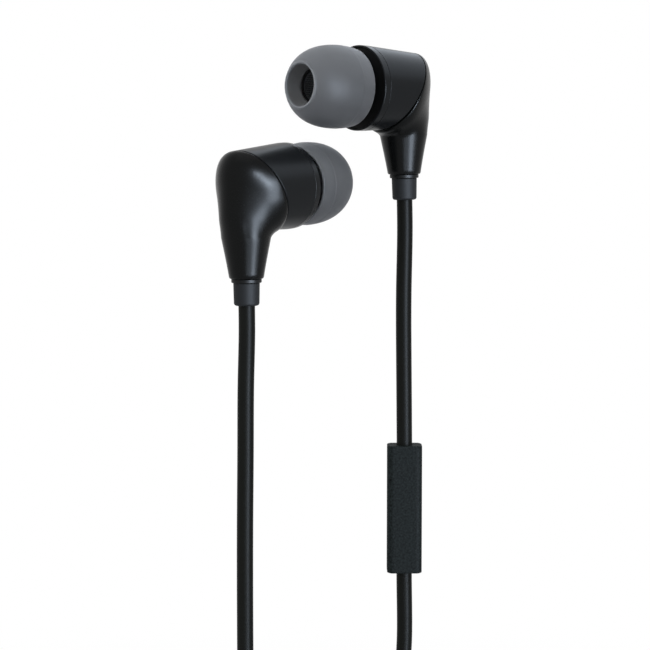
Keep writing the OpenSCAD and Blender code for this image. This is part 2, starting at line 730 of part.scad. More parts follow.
module plug_strain_relief() color([0.14, 0.14, 0.15]) on_plug(grip_top) difference() {
    cylinder(r1 = grip_r - 0.5, r2 = cord_r + 0.55, h = relief_len);
    translate([0, 0, -1]) cylinder(r = cord_hole_r, h = relief_len + 2);
}

module plug_grip() color([0.10, 0.10, 0.11]) on_plug(grip_base) difference() {
    rotate_extrude() polygon([[0, 0], [grip_r - 0.4, 0], [grip_r, 0.4],
        [grip_r, grip_len - 0.6], [grip_r - 0.4, grip_len], [0, grip_len]]);
    translate([0, 0, grip_floor]) cylinder(r = grip_r - grip_wall, h = grip_len - 2 * grip_floor);
    translate([0, 0, -1]) cylinder(r = jack_core_r + fit, h = grip_len + 2);
}

module plug_core() color([0.80, 0.80, 0.76]) on_plug(grip_base + grip_floor + fit) difference() {
    cylinder(r = grip_r - grip_wall - fit, h = grip_len - 2 * grip_floor - 2 * fit);
    translate([0, 0, -1]) cylinder(r = jack_core_r + fit, h = 4);
    translate([0, 0, grip_len - 2 * grip_floor - 4]) cylinder(r = cord_hole_r, h = 5);
}

module jack_sleeve() color([0.83, 0.68, 0.38]) jack_band(fit, jack_sleeve_len);
module jack_ring_2() color([0.83, 0.68, 0.38])
    jack_band(fit + jack_sleeve_len + jack_gap, jack_ring_len);
module jack_ring_1() color([0.83, 0.68, 0.38])
    jack_band(fit + jack_sleeve_len + 2 * jack_gap + jack_ring_len, jack_ring_len);

jack_straight = jack_sleeve_len + 2 * jack_ring_len + 3 * jack_gap;
jack_rod_r = 0.5;

module jack_tip() color([0.83, 0.68, 0.38]) on_plug(grip_base - fit - jack_straight)
    rotate_extrude() polygon([[0, -jack_tip_len], [0.5, -jack_tip_len], [1.0, -jack_tip_len + 0.35],
        [1.7, -jack_tip_len + 1.6], [1.7, -jack_tip_len + 1.9], [1.15, -jack_tip_len + 2.7],
        [1.15, -0.6], [jack_r - 0.05, -0.05], [jack_r - 0.05, -fit],
        [jack_rod_r, -fit], [jack_rod_r, jack_straight], [0, jack_straight]]);

module jack_insulators() color([0.08, 0.08, 0.09]) {
    on_plug(grip_base - jack_straight) difference() {
        cylinder(r = jack_core_r, h = jack_straight + 1.5);
        translate([0, 0, -1]) cylinder(r = jack_rod_r + fit, h = jack_straight + 1.2);
    }
    for (k = [0:2])
        jack_band(fit + jack_sleeve_len + k * (jack_gap + jack_ring_len) + 0.01, jack_gap - 0.02,
            jack_r, jack_rod_r + fit);
}

on_side("right") ear_tip();  // right_ear_tip
on_side("right") front_cover();  // right_front_cover
on_side("right") nozzle_mesh();  // right_nozzle_mesh
on_side("right") bezel();  // right_bezel
on_side("right") barrel();  // right_barrel
on_side("right") driver_frame();  // right_driver_frame
on_side("right") yoke();  // right_yoke
on_side("right") magnet();  // right_magnet
on_side("right") top_plate();  // right_top_plate
on_side("right") voice_coil();  // right_voice_coil
on_side("right") diaphragm();  // right_diaphragm
on_side("right") terminal_board();  // right_terminal_board
on_side("right") lead_wires();  // right_lead_wires
on_side("right") back_shell();  // right_back_shell
on_side("right") collar();  // right_collar
on_side("right") boot();  // right_boot
on_side("right") cord_crimp();  // right_cord_crimp
on_side("left") ear_tip();  // left_ear_tip
on_side("left") front_cover();  // left_front_cover
on_side("left") nozzle_mesh();  // left_nozzle_mesh
on_side("left") bezel();  // left_bezel
on_side("left") barrel();  // left_barrel
on_side("left") driver_frame();  // left_driver_frame
on_side("left") yoke();  // left_yoke
on_side("left") magnet();  // left_magnet
on_side("left") top_plate();  // left_top_plate
on_side("left") voice_coil();  // left_voice_coil
on_side("left") diaphragm();  // left_diaphragm
on_side("left") terminal_board();  // left_terminal_board
on_side("left") lead_wires();  // left_lead_wires
on_side("left") back_shell();  // left_back_shell
on_side("left") collar();  // left_collar
on_side("left") boot();  // left_boot
on_side("left") cord_crimp();  // left_cord_crimp
remote_front_cover();
remote_rear_cover();
remote_button();
remote_circuit_board();
remote_switch();
microphone_capsule();
remote_cord_crimps();
left_cord();
right_upper_cord();
right_lower_cord();
main_cord();
cord_hank();
y_splitter();
hank_tie();
plug_strain_relief();
plug_grip();
plug_core();
jack_sleeve();
jack_ring_2();
jack_ring_1();
jack_tip();
jack_insulators();
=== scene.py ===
"""Wired earphones: the shown surfaces, materials, lights and camera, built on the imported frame.

Lengths are millimetres in the frame's own axes, and MM turns them into metres. The stage, the
lights and the camera are in metres.
"""

import math

import bmesh
import bpy
import numpy as np
from mathutils import Matrix, Vector

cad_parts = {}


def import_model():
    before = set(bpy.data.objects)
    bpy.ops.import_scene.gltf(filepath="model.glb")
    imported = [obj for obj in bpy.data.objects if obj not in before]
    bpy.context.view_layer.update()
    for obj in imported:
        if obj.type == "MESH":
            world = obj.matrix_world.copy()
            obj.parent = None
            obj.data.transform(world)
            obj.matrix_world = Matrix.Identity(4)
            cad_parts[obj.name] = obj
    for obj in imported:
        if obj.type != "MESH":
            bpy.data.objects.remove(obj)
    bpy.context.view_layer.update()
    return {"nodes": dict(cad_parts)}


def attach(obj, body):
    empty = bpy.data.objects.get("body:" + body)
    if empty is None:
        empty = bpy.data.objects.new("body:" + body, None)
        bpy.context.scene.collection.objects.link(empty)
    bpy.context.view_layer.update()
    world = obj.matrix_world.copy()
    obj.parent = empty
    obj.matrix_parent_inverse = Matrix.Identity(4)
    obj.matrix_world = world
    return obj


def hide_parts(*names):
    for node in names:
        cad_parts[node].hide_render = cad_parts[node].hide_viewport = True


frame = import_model()

MM = 0.001

# ---- Sizes, as the frame has them ----

SIDES = {
    "right": {"at": (11.15, 9.7, -0.25), "turn": 221.0, "pitch": -1.5},
    "left": {"at": (-12.05, -9.1, -15.0), "turn": 52.0, "pitch": 0.5},
}
BARREL_TILT = 2.6

BARREL_FRONT, BARREL_FRONT_R = 8.3, 6.35
BARREL_REAR, BARREL_REAR_R = -2.3, 5.7
BORE_R = 5.3
SEAM_AT, SEAM_LEAN, SEAM_GAP = 1.45, 29.3, 0.14
LIP_DEPTH, LIP_WALL = 1.0, 0.4

BEZEL_FRONT, BEZEL_WALL, BEZEL_ROUND = 9.4, 0.3, 0.12

COVER_FACE, COVER_BACK = 9.2, 7.9
NOZZLE_R, NOZZLE_BORE_R, NOZZLE_END = 2.7, 1.95, 18.0
RIDGE_H, RIDGE_LEN, RIDGE_BACK = 0.18, 0.9, 0.6
MESH_THICK, MESH_R = 0.2, 2.2

TIP_LEN, TIP_R, TIP_FRONT_R, TIP_WALL = 9.7, 6.15, 3.5, 0.6
TIP_FRONT, TIP_POWER = 20.6, 2.5
HEM_LEN, HEM_R, HEM_STEP = 2.5, 5.85, 0.04
MOUTH_R, MOUTH_FOOT_R = 3.1, 2.5
SLEEVE_BORE_R, SLEEVE_WALL, SLEEVE_LEN = 2.96, 0.7, 5.4

STEM_R, STEM_END_R, STEM_END = 4.2, 2.5, -12.7
TAPER_FROM, BLEND_TO, CROWN_FROM = -4.0, -6.8, 1.6
SHELL_WALL, STEM_FLOOR, STEM_HOLE_R = 0.7, 0.8, 1.5

COLLAR_R, COLLAR_H = 2.2, 0.6
BOOT_R, BOOT_END_R, BOOT_LEN = 1.92, 1.84, 3.3
BOOT_HEAD_R, BOOT_HEAD_H = 1.65, 0.8

CORD_R, CORD_HOLE_R = 1.2, 1.25

REMOTE_AT = np.array([11.6, 9.9, -64.5])
REMOTE_W, REMOTE_D, REMOTE_H, REMOTE_ROUND = 5.35, 4.2, 19.8, 0.95
BUTTON_W, BUTTON_H, BUTTON_OUT, BUTTON_GAP = 2.6, 7.5, 0.35, 0.08
MIC_Z, MIC_R = -6.6, 0.45

HANK_Z, HANK_RUN, HANK_LOOP_R, HANK_WAIST_R = -124.0, 40.0, 6.7, 1.3
LAYER_STEP, COLUMN_STEP, HANK_D = 2.55, 2.45, 14.7
SPLITTER_W, SPLITTER_D, SPLITTER_LEN, SPLITTER_END_R = 6.6, 4.2, 16.0, 1.8
SPLITTER_Y = -9.5
TIE_H, TIE_WALL = 5.0, 0.9

PLUG_X, PLUG_Y = 0.0, 8.6
RELIEF_TOP, GRIP_TOP, GRIP_BASE = -160.0, -168.0, -184.0
GRIP_R, JACK_R, JACK_CORE_R = 3.0, 1.75, 1.2
JACK_SLEEVE, JACK_RING, JACK_GAP, JACK_TIP = 4.5, 1.9, 0.6, 3.9

FIT = 0.05

# ---- How finely things are drawn: points round a shape, step along a cord, weld in metres ----

AROUND, MESH_AROUND, CASE_AROUND, BUTTON_AROUND, HOLE_AROUND = 144, 64, 160, 96, 40
CORD_AROUND, SPLITTER_AROUND, PLUG_AROUND, FLOOR_AROUND = 20, 96, 96, 128
CORD_STEP = 1.0
WELD = 2e-7

# ---- Small shape helpers ----


def loft(rows, closed=False):
    """Points and faces over rows of points, each row a closed ring with as many points.

    A closed loft joins its last row to its first. An open one is shut by a fan to the middle of
    each end row. The faces are turned if the volume they enclose comes out negative.
    """
    rows = np.asarray(rows, float)
    count, around = rows.shape[:2]
    index = np.arange(count * around).reshape(count, around)
    following = np.roll(index, -1, axis=1)
    i = np.arange(count if closed else count - 1)
    j = (i + 1) % count
    quads = np.stack([index[i], following[i], following[j], index[j]], -1).reshape(-1, 4)
    points = rows.reshape(-1, 3)
    triangles = np.zeros((0, 3), int)
    if not closed:
        for ring, turned in ((0, True), (count - 1, False)):
            middle = np.full(around, len(points))
            points = np.vstack([points, rows[ring].mean(0)])
            a, b = (following[ring], index[ring]) if turned else (index[ring], following[ring])
            triangles = np.vstack([triangles, np.stack([a, b, middle], -1)])
    split = np.vstack([quads[:, [0, 1, 2]], quads[:, [0, 2, 3]], triangles])
    a, b, c = (points[split[:, k]] - points[0] for k in range(3))
    if (a * np.cross(b, c)).sum() < 0:
        quads, triangles = quads[:, ::-1], triangles[:, ::-1]
    return points, quads.tolist() + triangles.tolist()


def rounded(corners, steps=6, support=0.03):
    """A closed outline through corners (x, y, radius).

    Each corner becomes an arc that is tangent to both its sides, with a point just past each end
    of the arc, so that the flat sides stay flat in the shading.
    """
    xy = np.array([c[:2] for c in corners], float)
    out = []
    for k, (x, y, radius) in enumerate(corners):
        corner, before, after = xy[k], xy[k - 1], xy[(k + 1) % len(xy)]
        if radius <= 0:
            out.append(corner)
            continue
        back, ahead = before - corner, after - corner
        back_len, ahead_len = np.linalg.norm(back), np.linalg.norm(ahead)
        back, ahead = back / back_len, ahead / ahead_len
        half = math.acos(float(np.clip(back @ ahead, -1, 1))) / 2
        reach = radius / math.tan(half)
        middle = (back + ahead) / np.linalg.norm(back + ahead)
        centre = corner + middle * radius / math.sin(half)
        start, end = corner + back * reach - centre, corner + ahead * reach - centre
        turn = math.atan2(start[0] * end[1] - start[1] * end[0], float(start @ end))
        angle = math.atan2(start[1], start[0]) + turn * np.linspace(0, 1, steps + 1)
        arc = centre + radius * np.stack([np.cos(angle), np.sin(angle)], 1)
        if reach + support < back_len / 2:
            out.append(corner + back * (reach + support))
        out.extend(arc)
        if reach + support < ahead_len / 2:
            out.append(corner + ahead * (reach + support))
    return np.array(out)


def revolved(outline, around):
    """Rings of points round +Z, one for each (radius, height) of the outline."""
    outline = np.asarray(outline, float)
    angle = np.linspace(0, 2 * np.pi, around, endpoint=False)
    radius, height = outline[:, :1], outline[:, 1:]
    return np.stack([radius * np.cos(angle), radius * np.sin(angle), height + 0 * angle], -1)


def lathed(outline, around=AROUND, closed=True):
    """Points and faces of an outline of (radius, height) carried round +Z."""
    return loft(revolved(outline, around), closed)


def smooth_line(knots, spacing):
    """Points every `spacing` along the natural cubic spline through the knots.

    The spline's time at a knot is the straight distance walked from knot to knot.
    """
    knots = np.asarray(knots, float)
    step = np.linalg.norm(np.diff(knots, axis=0), axis=1)
    time = np.concatenate([[0], np.cumsum(step)])
    n = len(knots)
    system, right = np.zeros((n, n)), np.zeros((n, 3))
    system[0, 0] = system[-1, -1] = 1
    inner = np.arange(1, n - 1)
    system[inner, inner - 1] = step[:-1]
    system[inner, inner] = 2 * (step[:-1] + step[1:])
    system[inner, inner + 1] = step[1:]
    slope = np.diff(knots, axis=0) / step[:, None]
    right[1:-1] = 6 * np.diff(slope, axis=0)
    bend = np.linalg.solve(system, right)
    t = np.linspace(0, time[-1], max(8, int(time[-1] / spacing * 4)))
    k = np.clip(np.searchsorted(time, t, side="right") - 1, 0, n - 2)
    h, a, b = step[k][:, None], (time[k + 1] - t)[:, None], (t - time[k])[:, None]
    line = (
        bend[k] * a**3 / (6 * h)
        + bend[k + 1] * b**3 / (6 * h)
        + (knots[k] / h - bend[k] * h / 6) * a
        + (knots[k + 1] / h - bend[k + 1] * h / 6) * b
    )
    return even_line(line, spacing)


def even_line(line, spacing):
    """The same line with its points an equal distance apart, near `spacing`."""
    along = np.concatenate([[0], np.cumsum(np.linalg.norm(np.diff(line, axis=0), axis=1))])
    where = np.linspace(0, along[-1], max(2, int(round(along[-1] / spacing)) + 1))
    return np.stack([np.interp(where, along, line[:, k]) for k in range(3)], 1)


def swept(line, outline):
    """Rings of a flat outline (across, up) carried along a line, turned no more than the line.

    The first ring's "across" is square to the line and as near +X as it can be.
    """
    line, outline = np.asarray(line, float), np.asarray(outline, float)
    ahead = np.gradient(line, axis=0)
    ahead /= np.linalg.norm(ahead, axis=1, keepdims=True)
    across = np.zeros_like(ahead)
    guess = np.array([1.0, 0, 0])
    if abs(ahead[0, 0]) > 0.9:
        guess = np.array([0, 1.0, 0])
    for k in range(len(line)):
        guess = guess - ahead[k] * (guess @ ahead[k])
        guess /= np.linalg.norm(guess)
        across[k] = guess
    up = np.cross(ahead, across)
    return (
        line[:, None]
        + across[:, None] * outline[None, :, :1]
        + up[:, None] * outline[None, :, 1:]
    )


def circle(radius, around):
    """A round outline."""
    angle = np.linspace(0, 2 * np.pi, around, endpoint=False)
    return radius * np.stack([np.cos(angle), np.sin(angle)], 1)


def circle_points(x, y, radius, angle):
    """Points (x + radius cos angle, y + radius sin angle)."""
    return np.stack([x + radius * np.cos(angle), y + radius * np.sin(angle)], 1)


def joined(*shapes):
    """Several (points, faces) as one."""
    points, faces, start = [], [], 0
    for p, f in shapes:
        points.append(p)
        faces += [[v + start for v in face] for face in f]
        start += len(p)
    return np.vstack(points), faces


def eased(t):
    """Smooth step, 3 t^2 - 2 t^3: from 0 to 1, and level at both ends."""
    return t * t * (3 - 2 * t)


def add(name, data):
    """A new object at the origin of the scene."""
    obj = bpy.data.objects.new(name, data)
    bpy.context.scene.collection.objects.link(obj)
    return obj


def mesh_of(name, shape):
    """A new mesh from (points in millimetres, faces)."""
    points, faces = shape
    mesh = bpy.data.meshes.new(name)
    mesh.from_pydata((np.asarray(points) * MM).tolist(), [], faces)
    return mesh


def piece(name, shape, slot, replaces=(), body="headset", thickness=None):
    """A smooth-shaded piece from (points in millimetres, faces), on a body, in its slot's material.

    The last argument is a value for each point, which the silicone's painted light and shade
    follow.
    """
    mesh = mesh_of(name, shape)
    if thickness is not None:
        layer = mesh.attributes.new("thickness", "FLOAT", "POINT")
        layer.data.foreach_set("value", np.asarray(thickness, np.float32).ravel())
    sheet = bmesh.new()
    sheet.from_mesh(mesh)
    bmesh.ops.remove_doubles(sheet, verts=sheet.verts, dist=WELD)
    sheet.to_mesh(mesh)
    sheet.free()
    mesh.shade_smooth()
    mesh.materials.append(MATERIALS[slot])
    obj = add(name, mesh)
    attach(obj, body)
    if replaces:
        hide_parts(*replaces)
    return obj


def shown(node, shape, slot, body="headset", thickness=None):
    """The piece that is seen in place of one node of the frame."""
    return piece(f"{node}_shown", shape, slot, [node], body, thickness)


# ---- Places of the two units ----

TILT, LEAN = math.radians(BARREL_TILT), math.radians(SEAM_LEAN)
BARREL_AXES = np.array(
    [
        [math.sin(TILT), 0, -math.cos(TILT)],
        [0, 1, 0],
        [math.cos(TILT), 0, math.sin(TILT)],
    ]
)


def placed(side, points):
    """Points of a unit, drawn with its barrel towards +X and its stem down, in the row's frame.

    The unit is pitched about its own +Y, which lifts the barrel, and then turned about +Z.
    """
    turn, pitch = math.radians(SIDES[side]["turn"]), math.radians(SIDES[side]["pitch"])
    c, s = math.cos(pitch), math.sin(pitch)
    pitched = np.asarray(points) @ np.array([[c, 0, s], [0, 1, 0], [-s, 0, c]])
    c, s = math.cos(turn), math.sin(turn)
    turned = pitched @ np.array([[c, s, 0], [-s, c, 0], [0, 0, 1]])
    return turned + np.array(SIDES[side]["at"])


def along_barrel(side, points):
    """Points drawn about +Z, with +Z laid along the barrel's axis."""
    return placed(side, np.asarray(points) @ BARREL_AXES)


def barrel_radius(station):
    """The barrel's radius grows in a straight line from its rear to its front."""
    share = (station - BARREL_REAR) / (BARREL_FRONT - BARREL_REAR)
    return BARREL_REAR_R + (BARREL_FRONT_R - BARREL_REAR_R) * share


def seam_station(u, move=0.0):
    """Where along the barrel the seam plane, moved forward by `move`, is at height -u."""
    lean = LEAN - TILT
    return (move + SEAM_AT * math.cos(LEAN) + u * math.sin(lean)) / math.cos(lean)


def seam_radius(angle, move=0.0):
    """The barrel's radius where it meets the seam plane, found in three rounds of guessing."""
    radius = np.full_like(angle, BARREL_REAR_R)
    for _ in range(3):
        radius = barrel_radius(seam_station(radius * np.cos(angle), move))
    return radius


# ---- Materials ----


def group(name, inputs):
    """A node group with named inputs, (name, kind, value) each, for one surface effect.

    It puts out a colour, a gloss and a height. Returns the group, the sockets of its inputs and
    its output node.
    """
    tree = bpy.data.node_groups.new(name, "ShaderNodeTree")
    kinds = {
        "value": "NodeSocketFloat",
        "colour": "NodeSocketColor",
        "vector": "NodeSocketVector",
    }
    for label, kind, value in inputs:
        socket = tree.interface.new_socket(label, in_out="INPUT", socket_type=kinds[kind])
        if value is not None:
            socket.default_value = value
    for label, kind in (("Base Color", "colour"), ("Roughness", "value"), ("Height", "value")):
        tree.interface.new_socket(label, in_out="OUTPUT", socket_type=kinds[kind])
    start, end = tree.nodes.new("NodeGroupInput"), tree.nodes.new("NodeGroupOutput")
    return tree, start.outputs, end


def feed(tree, node, values):
    """Sets a node's inputs, by name or number: a socket is linked, and anything else set."""
    for label, value in values.items():
        if isinstance(value, bpy.types.NodeSocket):
            tree.links.new(value, node.inputs[label])
        else:
            node.inputs[label].default_value = value


def maths(tree, operation, *values):
    """A Math node fed by sockets or numbers, and its result."""
    node = tree.nodes.new("ShaderNodeMath")
    node.operation = operation
    feed(tree, node, dict(enumerate(values)))
    return node.outputs[0]


def noise(tree, vector, scale, detail, rough=0.55):
    """A noise value from 0 to 1 at a point, at a scale in waves per metre."""
    node = tree.nodes.new("ShaderNodeTexNoise")
    feed(tree, node, {"Vector": vector, "Scale": scale, "Detail": detail, "Roughness": rough})
    return node.outputs["Fac"]


def toned(tree, colour, tone):
    """A colour with its brightness times `tone`."""
    node = tree.nodes.new("ShaderNodeHueSaturation")
    feed(tree, node, {"Color": colour, "Value": tone})
    return node.outputs["Color"]


def swung(tree, level, change, value):
    """value + (level - 0.5) x change"""
    return maths(tree, "MULTIPLY_ADD", maths(tree, "SUBTRACT", level, 0.5), change, value)


def moulded_group():
    """Moulded surface: a slow change of tone, and a fine grain in the gloss and in the height.

    tone = 1 + (slow noise - 0.5) x 2 x Tone Change, times the colour
    gloss = Roughness + (grain - 0.5) x Roughness Change
    height = grain
    """
    tree, start, end = group(
        "moulded_surface",
        [
            ("Vector", "vector", None),
            ("Colour", "colour", (0.1, 0.1, 0.1, 1)),
            ("Tone Change", "value", 0.1),
            ("Tone Scale", "value", 300.0),
            ("Roughness", "value", 0.5),
            ("Roughness Change", "value", 0.1),
            ("Grain Scale", "value", 4000.0),
        ],
    )
    slow = noise(tree, start["Vector"], start["Tone Scale"], 2.0)
    grain = noise(tree, start["Vector"], start["Grain Scale"], 4.0, 0.6)
    swing = maths(tree, "MULTIPLY", maths(tree, "SUBTRACT", slow, 0.5), start["Tone Change"])
    tone = maths(tree, "MULTIPLY_ADD", swing, 2.0, 1.0)
    gloss = swung(tree, grain, start["Roughness Change"], start["Roughness"])
    colour = toned(tree, start["Colour"], tone)
    feed(tree, end, {"Base Color": colour, "Roughness": gloss, "Height": grain})
    return tree


def turned_group():
    """Turned metal: fine rings across +Z of the given vector, in the gloss and in the height.

    rings = noise along the axis only, with the other two axes squeezed to a hundredth
    tone = 0.9 + 0.2 x slow noise, times the colour
    gloss = Roughness + (rings - 0.5) x Roughness Change
    height = rings
    """
    tree, start, end = group(
        "turned_metal",
        [
            ("Vector", "vector", None),
            ("Colour", "colour", (0.5, 0.5, 0.5, 1)),
            ("Roughness", "value", 0.3),
            ("Roughness Change", "value", 0.15),
            ("Ring Scale", "value", 9000.0),
        ],
    )
    squeeze = tree.nodes.new("ShaderNodeVectorMath")
    squeeze.operation = "MULTIPLY"
    feed(tree, squeeze, {0: start["Vector"], 1: (0.01, 0.01, 1.0)})
    rings = noise(tree, squeeze.outputs[0], start["Ring Scale"], 3.0, 0.7)
    cloud = noise(tree, start["Vector"], 500.0, 2.0)
    tone = maths(tree, "MULTIPLY_ADD", cloud, 0.2, 0.9)
    gloss = swung(tree, rings, start["Roughness Change"], start["Roughness"])
    colour = toned(tree, start["Colour"], tone)
    feed(tree, end, {"Base Color": colour, "Roughness": gloss, "Height": rings})
    return tree


MOULDED, TURNED = moulded_group(), turned_group()


def srgb(code):
    """Linear colour from a hexadecimal sRGB code."""
    parts = [int(code[k : k + 2], 16) / 255 for k in (1, 3, 5)]
    linear = [p / 12.92 if p <= 0.04045 else ((p + 0.055) / 1.055) ** 2.4 for p in parts]
    return (*linear, 1.0)


BUMP_DISTANCE = 0.00002
METAL_BUMP = 0.1


def surface(name, effect_tree, settings, bump, shader):
    """A material whose colour, gloss and bump come from a shared group.

    `settings` are the group's values, and `shader` the other values of the Principled BSDF.
    """
    material = bpy.data.materials.new(name)
    material.use_nodes = True
    tree = material.node_tree
    place = tree.nodes.new("ShaderNodeTexCoord")
    effect = tree.nodes.new("ShaderNodeGroup")
    effect.node_tree = effect_tree
    feed(tree, effect, {"Vector": place.outputs["Object"], **settings})
    out = effect.outputs
    finish = {"Base Color": out["Base Color"], "Roughness": out["Roughness"], **shader}
    if bump:
        relief = tree.nodes.new("ShaderNodeBump")
        values = {"Strength": bump, "Distance": BUMP_DISTANCE, "Height": out["Height"]}
        feed(tree, relief, values)
        finish["Normal"] = relief.outputs["Normal"]
    feed(tree, tree.nodes["Principled BSDF"], finish)
    return material


def plastic(
    name,
    code,
    rough,
    change=0.08,
    tone=0.08,
    tone_scale=300.0,
    grain=5000.0,
    bump=0.1,
    specular=0.5,
):
    """Moulded plastic or rubber of a colour, gloss and grain."""
    settings = {
        "Colour": srgb(code),
        "Tone Change": tone,
        "Tone Scale": tone_scale,
        "Roughness": rough,
        "Roughness Change": change,
        "Grain Scale": grain,
    }
    return surface(name, MOULDED, settings, bump, {"Specular IOR Level": specular})


def metal(name, code, rough, change=0.12):
    """Turned or drawn metal of a colour and gloss."""
    settings = {"Colour": srgb(code), "Roughness": rough, "Roughness Change": change}
    return surface(name, TURNED, settings, METAL_BUMP, {"Metallic": 1.0})


# Painted light and shade on the ear tip: the hem is lightened as if lit through its thin wall, and
# the mouth's funnel darkened as if in shade.
MOUTH_PAINTED_SHADE = (0.9, 0.87, 0.83, 1)
HEM_PAINTED_LIGHT = (1.06, 1.06, 1.06, 1)
PLAIN_SPAN = (0.3, 0.6)
SILICONE_SHADER = {
    "Subsurface Weight": 1.0,
    "Subsurface Radius": (1.0, 1.0, 1.0),
    "Subsurface Scale": 0.0022,
}


def silicone(name, **finish):
    """Translucent silicone: the moulded group's colour times a tint of painted light and shade.

    The level is 0 on the thin hem, about half on the dome and 1 in the thick wall of the mouth.
    tint = painted light at 0 (the hem lighter, as if lit through), white over PLAIN_SPAN, and
    painted shade at 1 (the mouth's funnel darker, as in shade)
    """
    material = plastic(name, **finish)
    tree = material.node_tree
    bsdf = tree.nodes["Principled BSDF"]
    # The per-point level chooses the painted light on the hem and the painted shade in the mouth.
    thickness = tree.nodes.new("ShaderNodeAttribute")
    thickness.attribute_name = "thickness"
    ramp = tree.nodes.new("ShaderNodeValToRGB")
    stops = ramp.color_ramp.elements
    stops[0].position, stops[0].color = 0.0, HEM_PAINTED_LIGHT
    stops[1].position, stops[1].color = 1.0, MOUTH_PAINTED_SHADE
    for place in PLAIN_SPAN:
        stops.new(place).color = (1, 1, 1, 1)
    feed(tree, ramp, {"Fac": thickness.outputs["Fac"]})
    tint = tree.nodes.new("ShaderNodeMix")
    tint.data_type, tint.blend_type = "RGBA", "MULTIPLY"
    colour = bsdf.inputs["Base Color"].links[0].from_socket
    feed(tree, tint, {"Factor": 1.0, "A": colour, "B": ramp.outputs["Color"]})
    feed(tree, bsdf, {"Base Color": tint.outputs["Result"], **SILICONE_SHADER})
    return material


# The colour, gloss and grain of each finish.
PLASTICS = {
    "barrel_satin": dict(code="#191b1d", rough=0.32, grain=6000.0, bump=0.05, specular=0.07),
    "shell_gloss": dict(
        code="#0a0b0b", rough=0.27, change=0.04, tone=0.05, bump=0.02, specular=0.09
    ),
    "cover_black": dict(code="#0a0a0a", rough=0.55, specular=0.1),
    "bezel_metal": dict(code="#16181a", rough=0.26, grain=6000.0, bump=0.04, specular=0.1),
    "collar_black": dict(code="#0c0d0d", rough=0.4, specular=0.12),
    "boot_rubber": dict(code="#1a1c1e", rough=0.6, bump=0.25, specular=0.12),
    "cord_jacket": dict(code="#161715", rough=0.4, grain=7000.0, bump=0.06, specular=0.035),
    "remote_matte": dict(
        code="#1a1f1f",
        rough=0.62,
        tone=1.7,
        tone_scale=3200.0,
        grain=6500.0,
        bump=0.3,
        specular=0.04,
    ),
    "button_matte": dict(code="#17191a", rough=0.45, grain=6500.0, bump=0.2, specular=0.2),
    "splitter_rubber": dict(code="#191a1b", rough=0.55, bump=0.25, specular=0.2),
    "tie_strap": dict(code="#2a2c2e", rough=0.62, bump=0.3, specular=0.2),
    "grip_matte": dict(code="#18191b", rough=0.5, bump=0.25, specular=0.2),
    "insulator_black": dict(code="#0c0c0d", rough=0.35),
    "core_white": dict(code="#d8d6cc", rough=0.5),
    "switch_cream": dict(code="#c9c6ba", rough=0.45),
    "cone_film": dict(code="#cfcab4", rough=0.35, bump=0.15),
    "board_green": dict(code="#1b5a35", rough=0.45, tone=0.15, bump=0.2),
    "lead_red": dict(code="#a3271c", rough=0.45),
}
METALS = {
    "mesh_steel": dict(code="#3a3c3e", rough=0.35),
    "frame_grey": dict(code="#9d9889", rough=0.4),
    "pole_steel": dict(code="#b4b5b9", rough=0.3),
    "magnet_plated": dict(code="#8f9093", rough=0.25),
    "copper_wire": dict(code="#b86a35", rough=0.35),
    "crimp_metal": dict(code="#c2bdae", rough=0.35),
    "capsule_metal": dict(code="#c9c4ac", rough=0.3),
    "jack_gold": dict(code="#d6ac58", rough=0.2, change=0.08),
}
SILICONES = {
    "tip_silicone": dict(
        code="#6c6e71", rough=0.5, tone=0.04, grain=3000.0, bump=0.05, specular=0.1
    ),
}
MATERIALS = {
    name: make(name, **finish)
    for make, finishes in ((plastic, PLASTICS), (metal, METALS), (silicone, SILICONES))
    for name, finish in finishes.items()
}


# ---- The pieces of a unit ----

CROWN_X, CROWN_POWER = -1.7, 2.15
TAPER_POWER, TAPER_SOFT = 1.1, 0.1
PIVOT = np.array([SEAM_AT - BLEND_TO * math.tan(LEAN), 0.0, BLEND_TO])
FOLD_MIN, FOLD_MIN_AT = 0.85, 50.0
SHELL_SOFT, SHELL_FALL, SHELL_EGG, SHELL_EGG_POWER = 0.05, 1.65, 0.2, 0.6
EDGE_ROUND, STEM_EDGE, FRONT_EDGE = 0.14, 0.2, 0.07
SOFT_EDGE, FINE_EDGE, NOZZLE_FILLET = 0.08, 0.05, 0.4
SECTIONS, SECTION_POWER, SECTION_LAST = 60, 1.7, 0.035
SEAM_TURNS = [1.6, 1.2, 0.9, 0.65, 0.45, 0.3, 0.2, 0.12, 0.06, 0.02, 0.0]
HOLLOW_TURN, HOLLOW_GAP, HOLLOW_STEM_Z = 6, 0.2, (-10.5, -11.5)
HEM_EDGE, HEM_FOOT, HEM_TOP, FUNNEL_POWER, SKIRT_BACK = 0.22, 0.25, 0.08, 1.5, 0.6
# Levels of that painted light and shade along the ear tip's outline, from 0 on the hem to 1 in the
# mouth.
HEM_PAINTED_LEVEL, DOME_PAINTED_LEVEL, RIM_PAINTED_LEVEL, MOUTH_PAINTED_LEVEL, INNER_PAINTED_LEVEL = 0.0, 0.5, 0.6, 1.0, 0.4
WIRE_R, WIRE_PITCH, WIRE_SWING, WIRES_EACH_SIDE = 0.055, 0.27, 0.05, 7
WIRE_STOP, WIRE_HELD = 0.12, 0.1
MESH_SEAT, MESH_RIM_GAP, MESH_RIM_H, MESH_RIM_EDGE = 0.3, 0.01, 0.18, 0.03


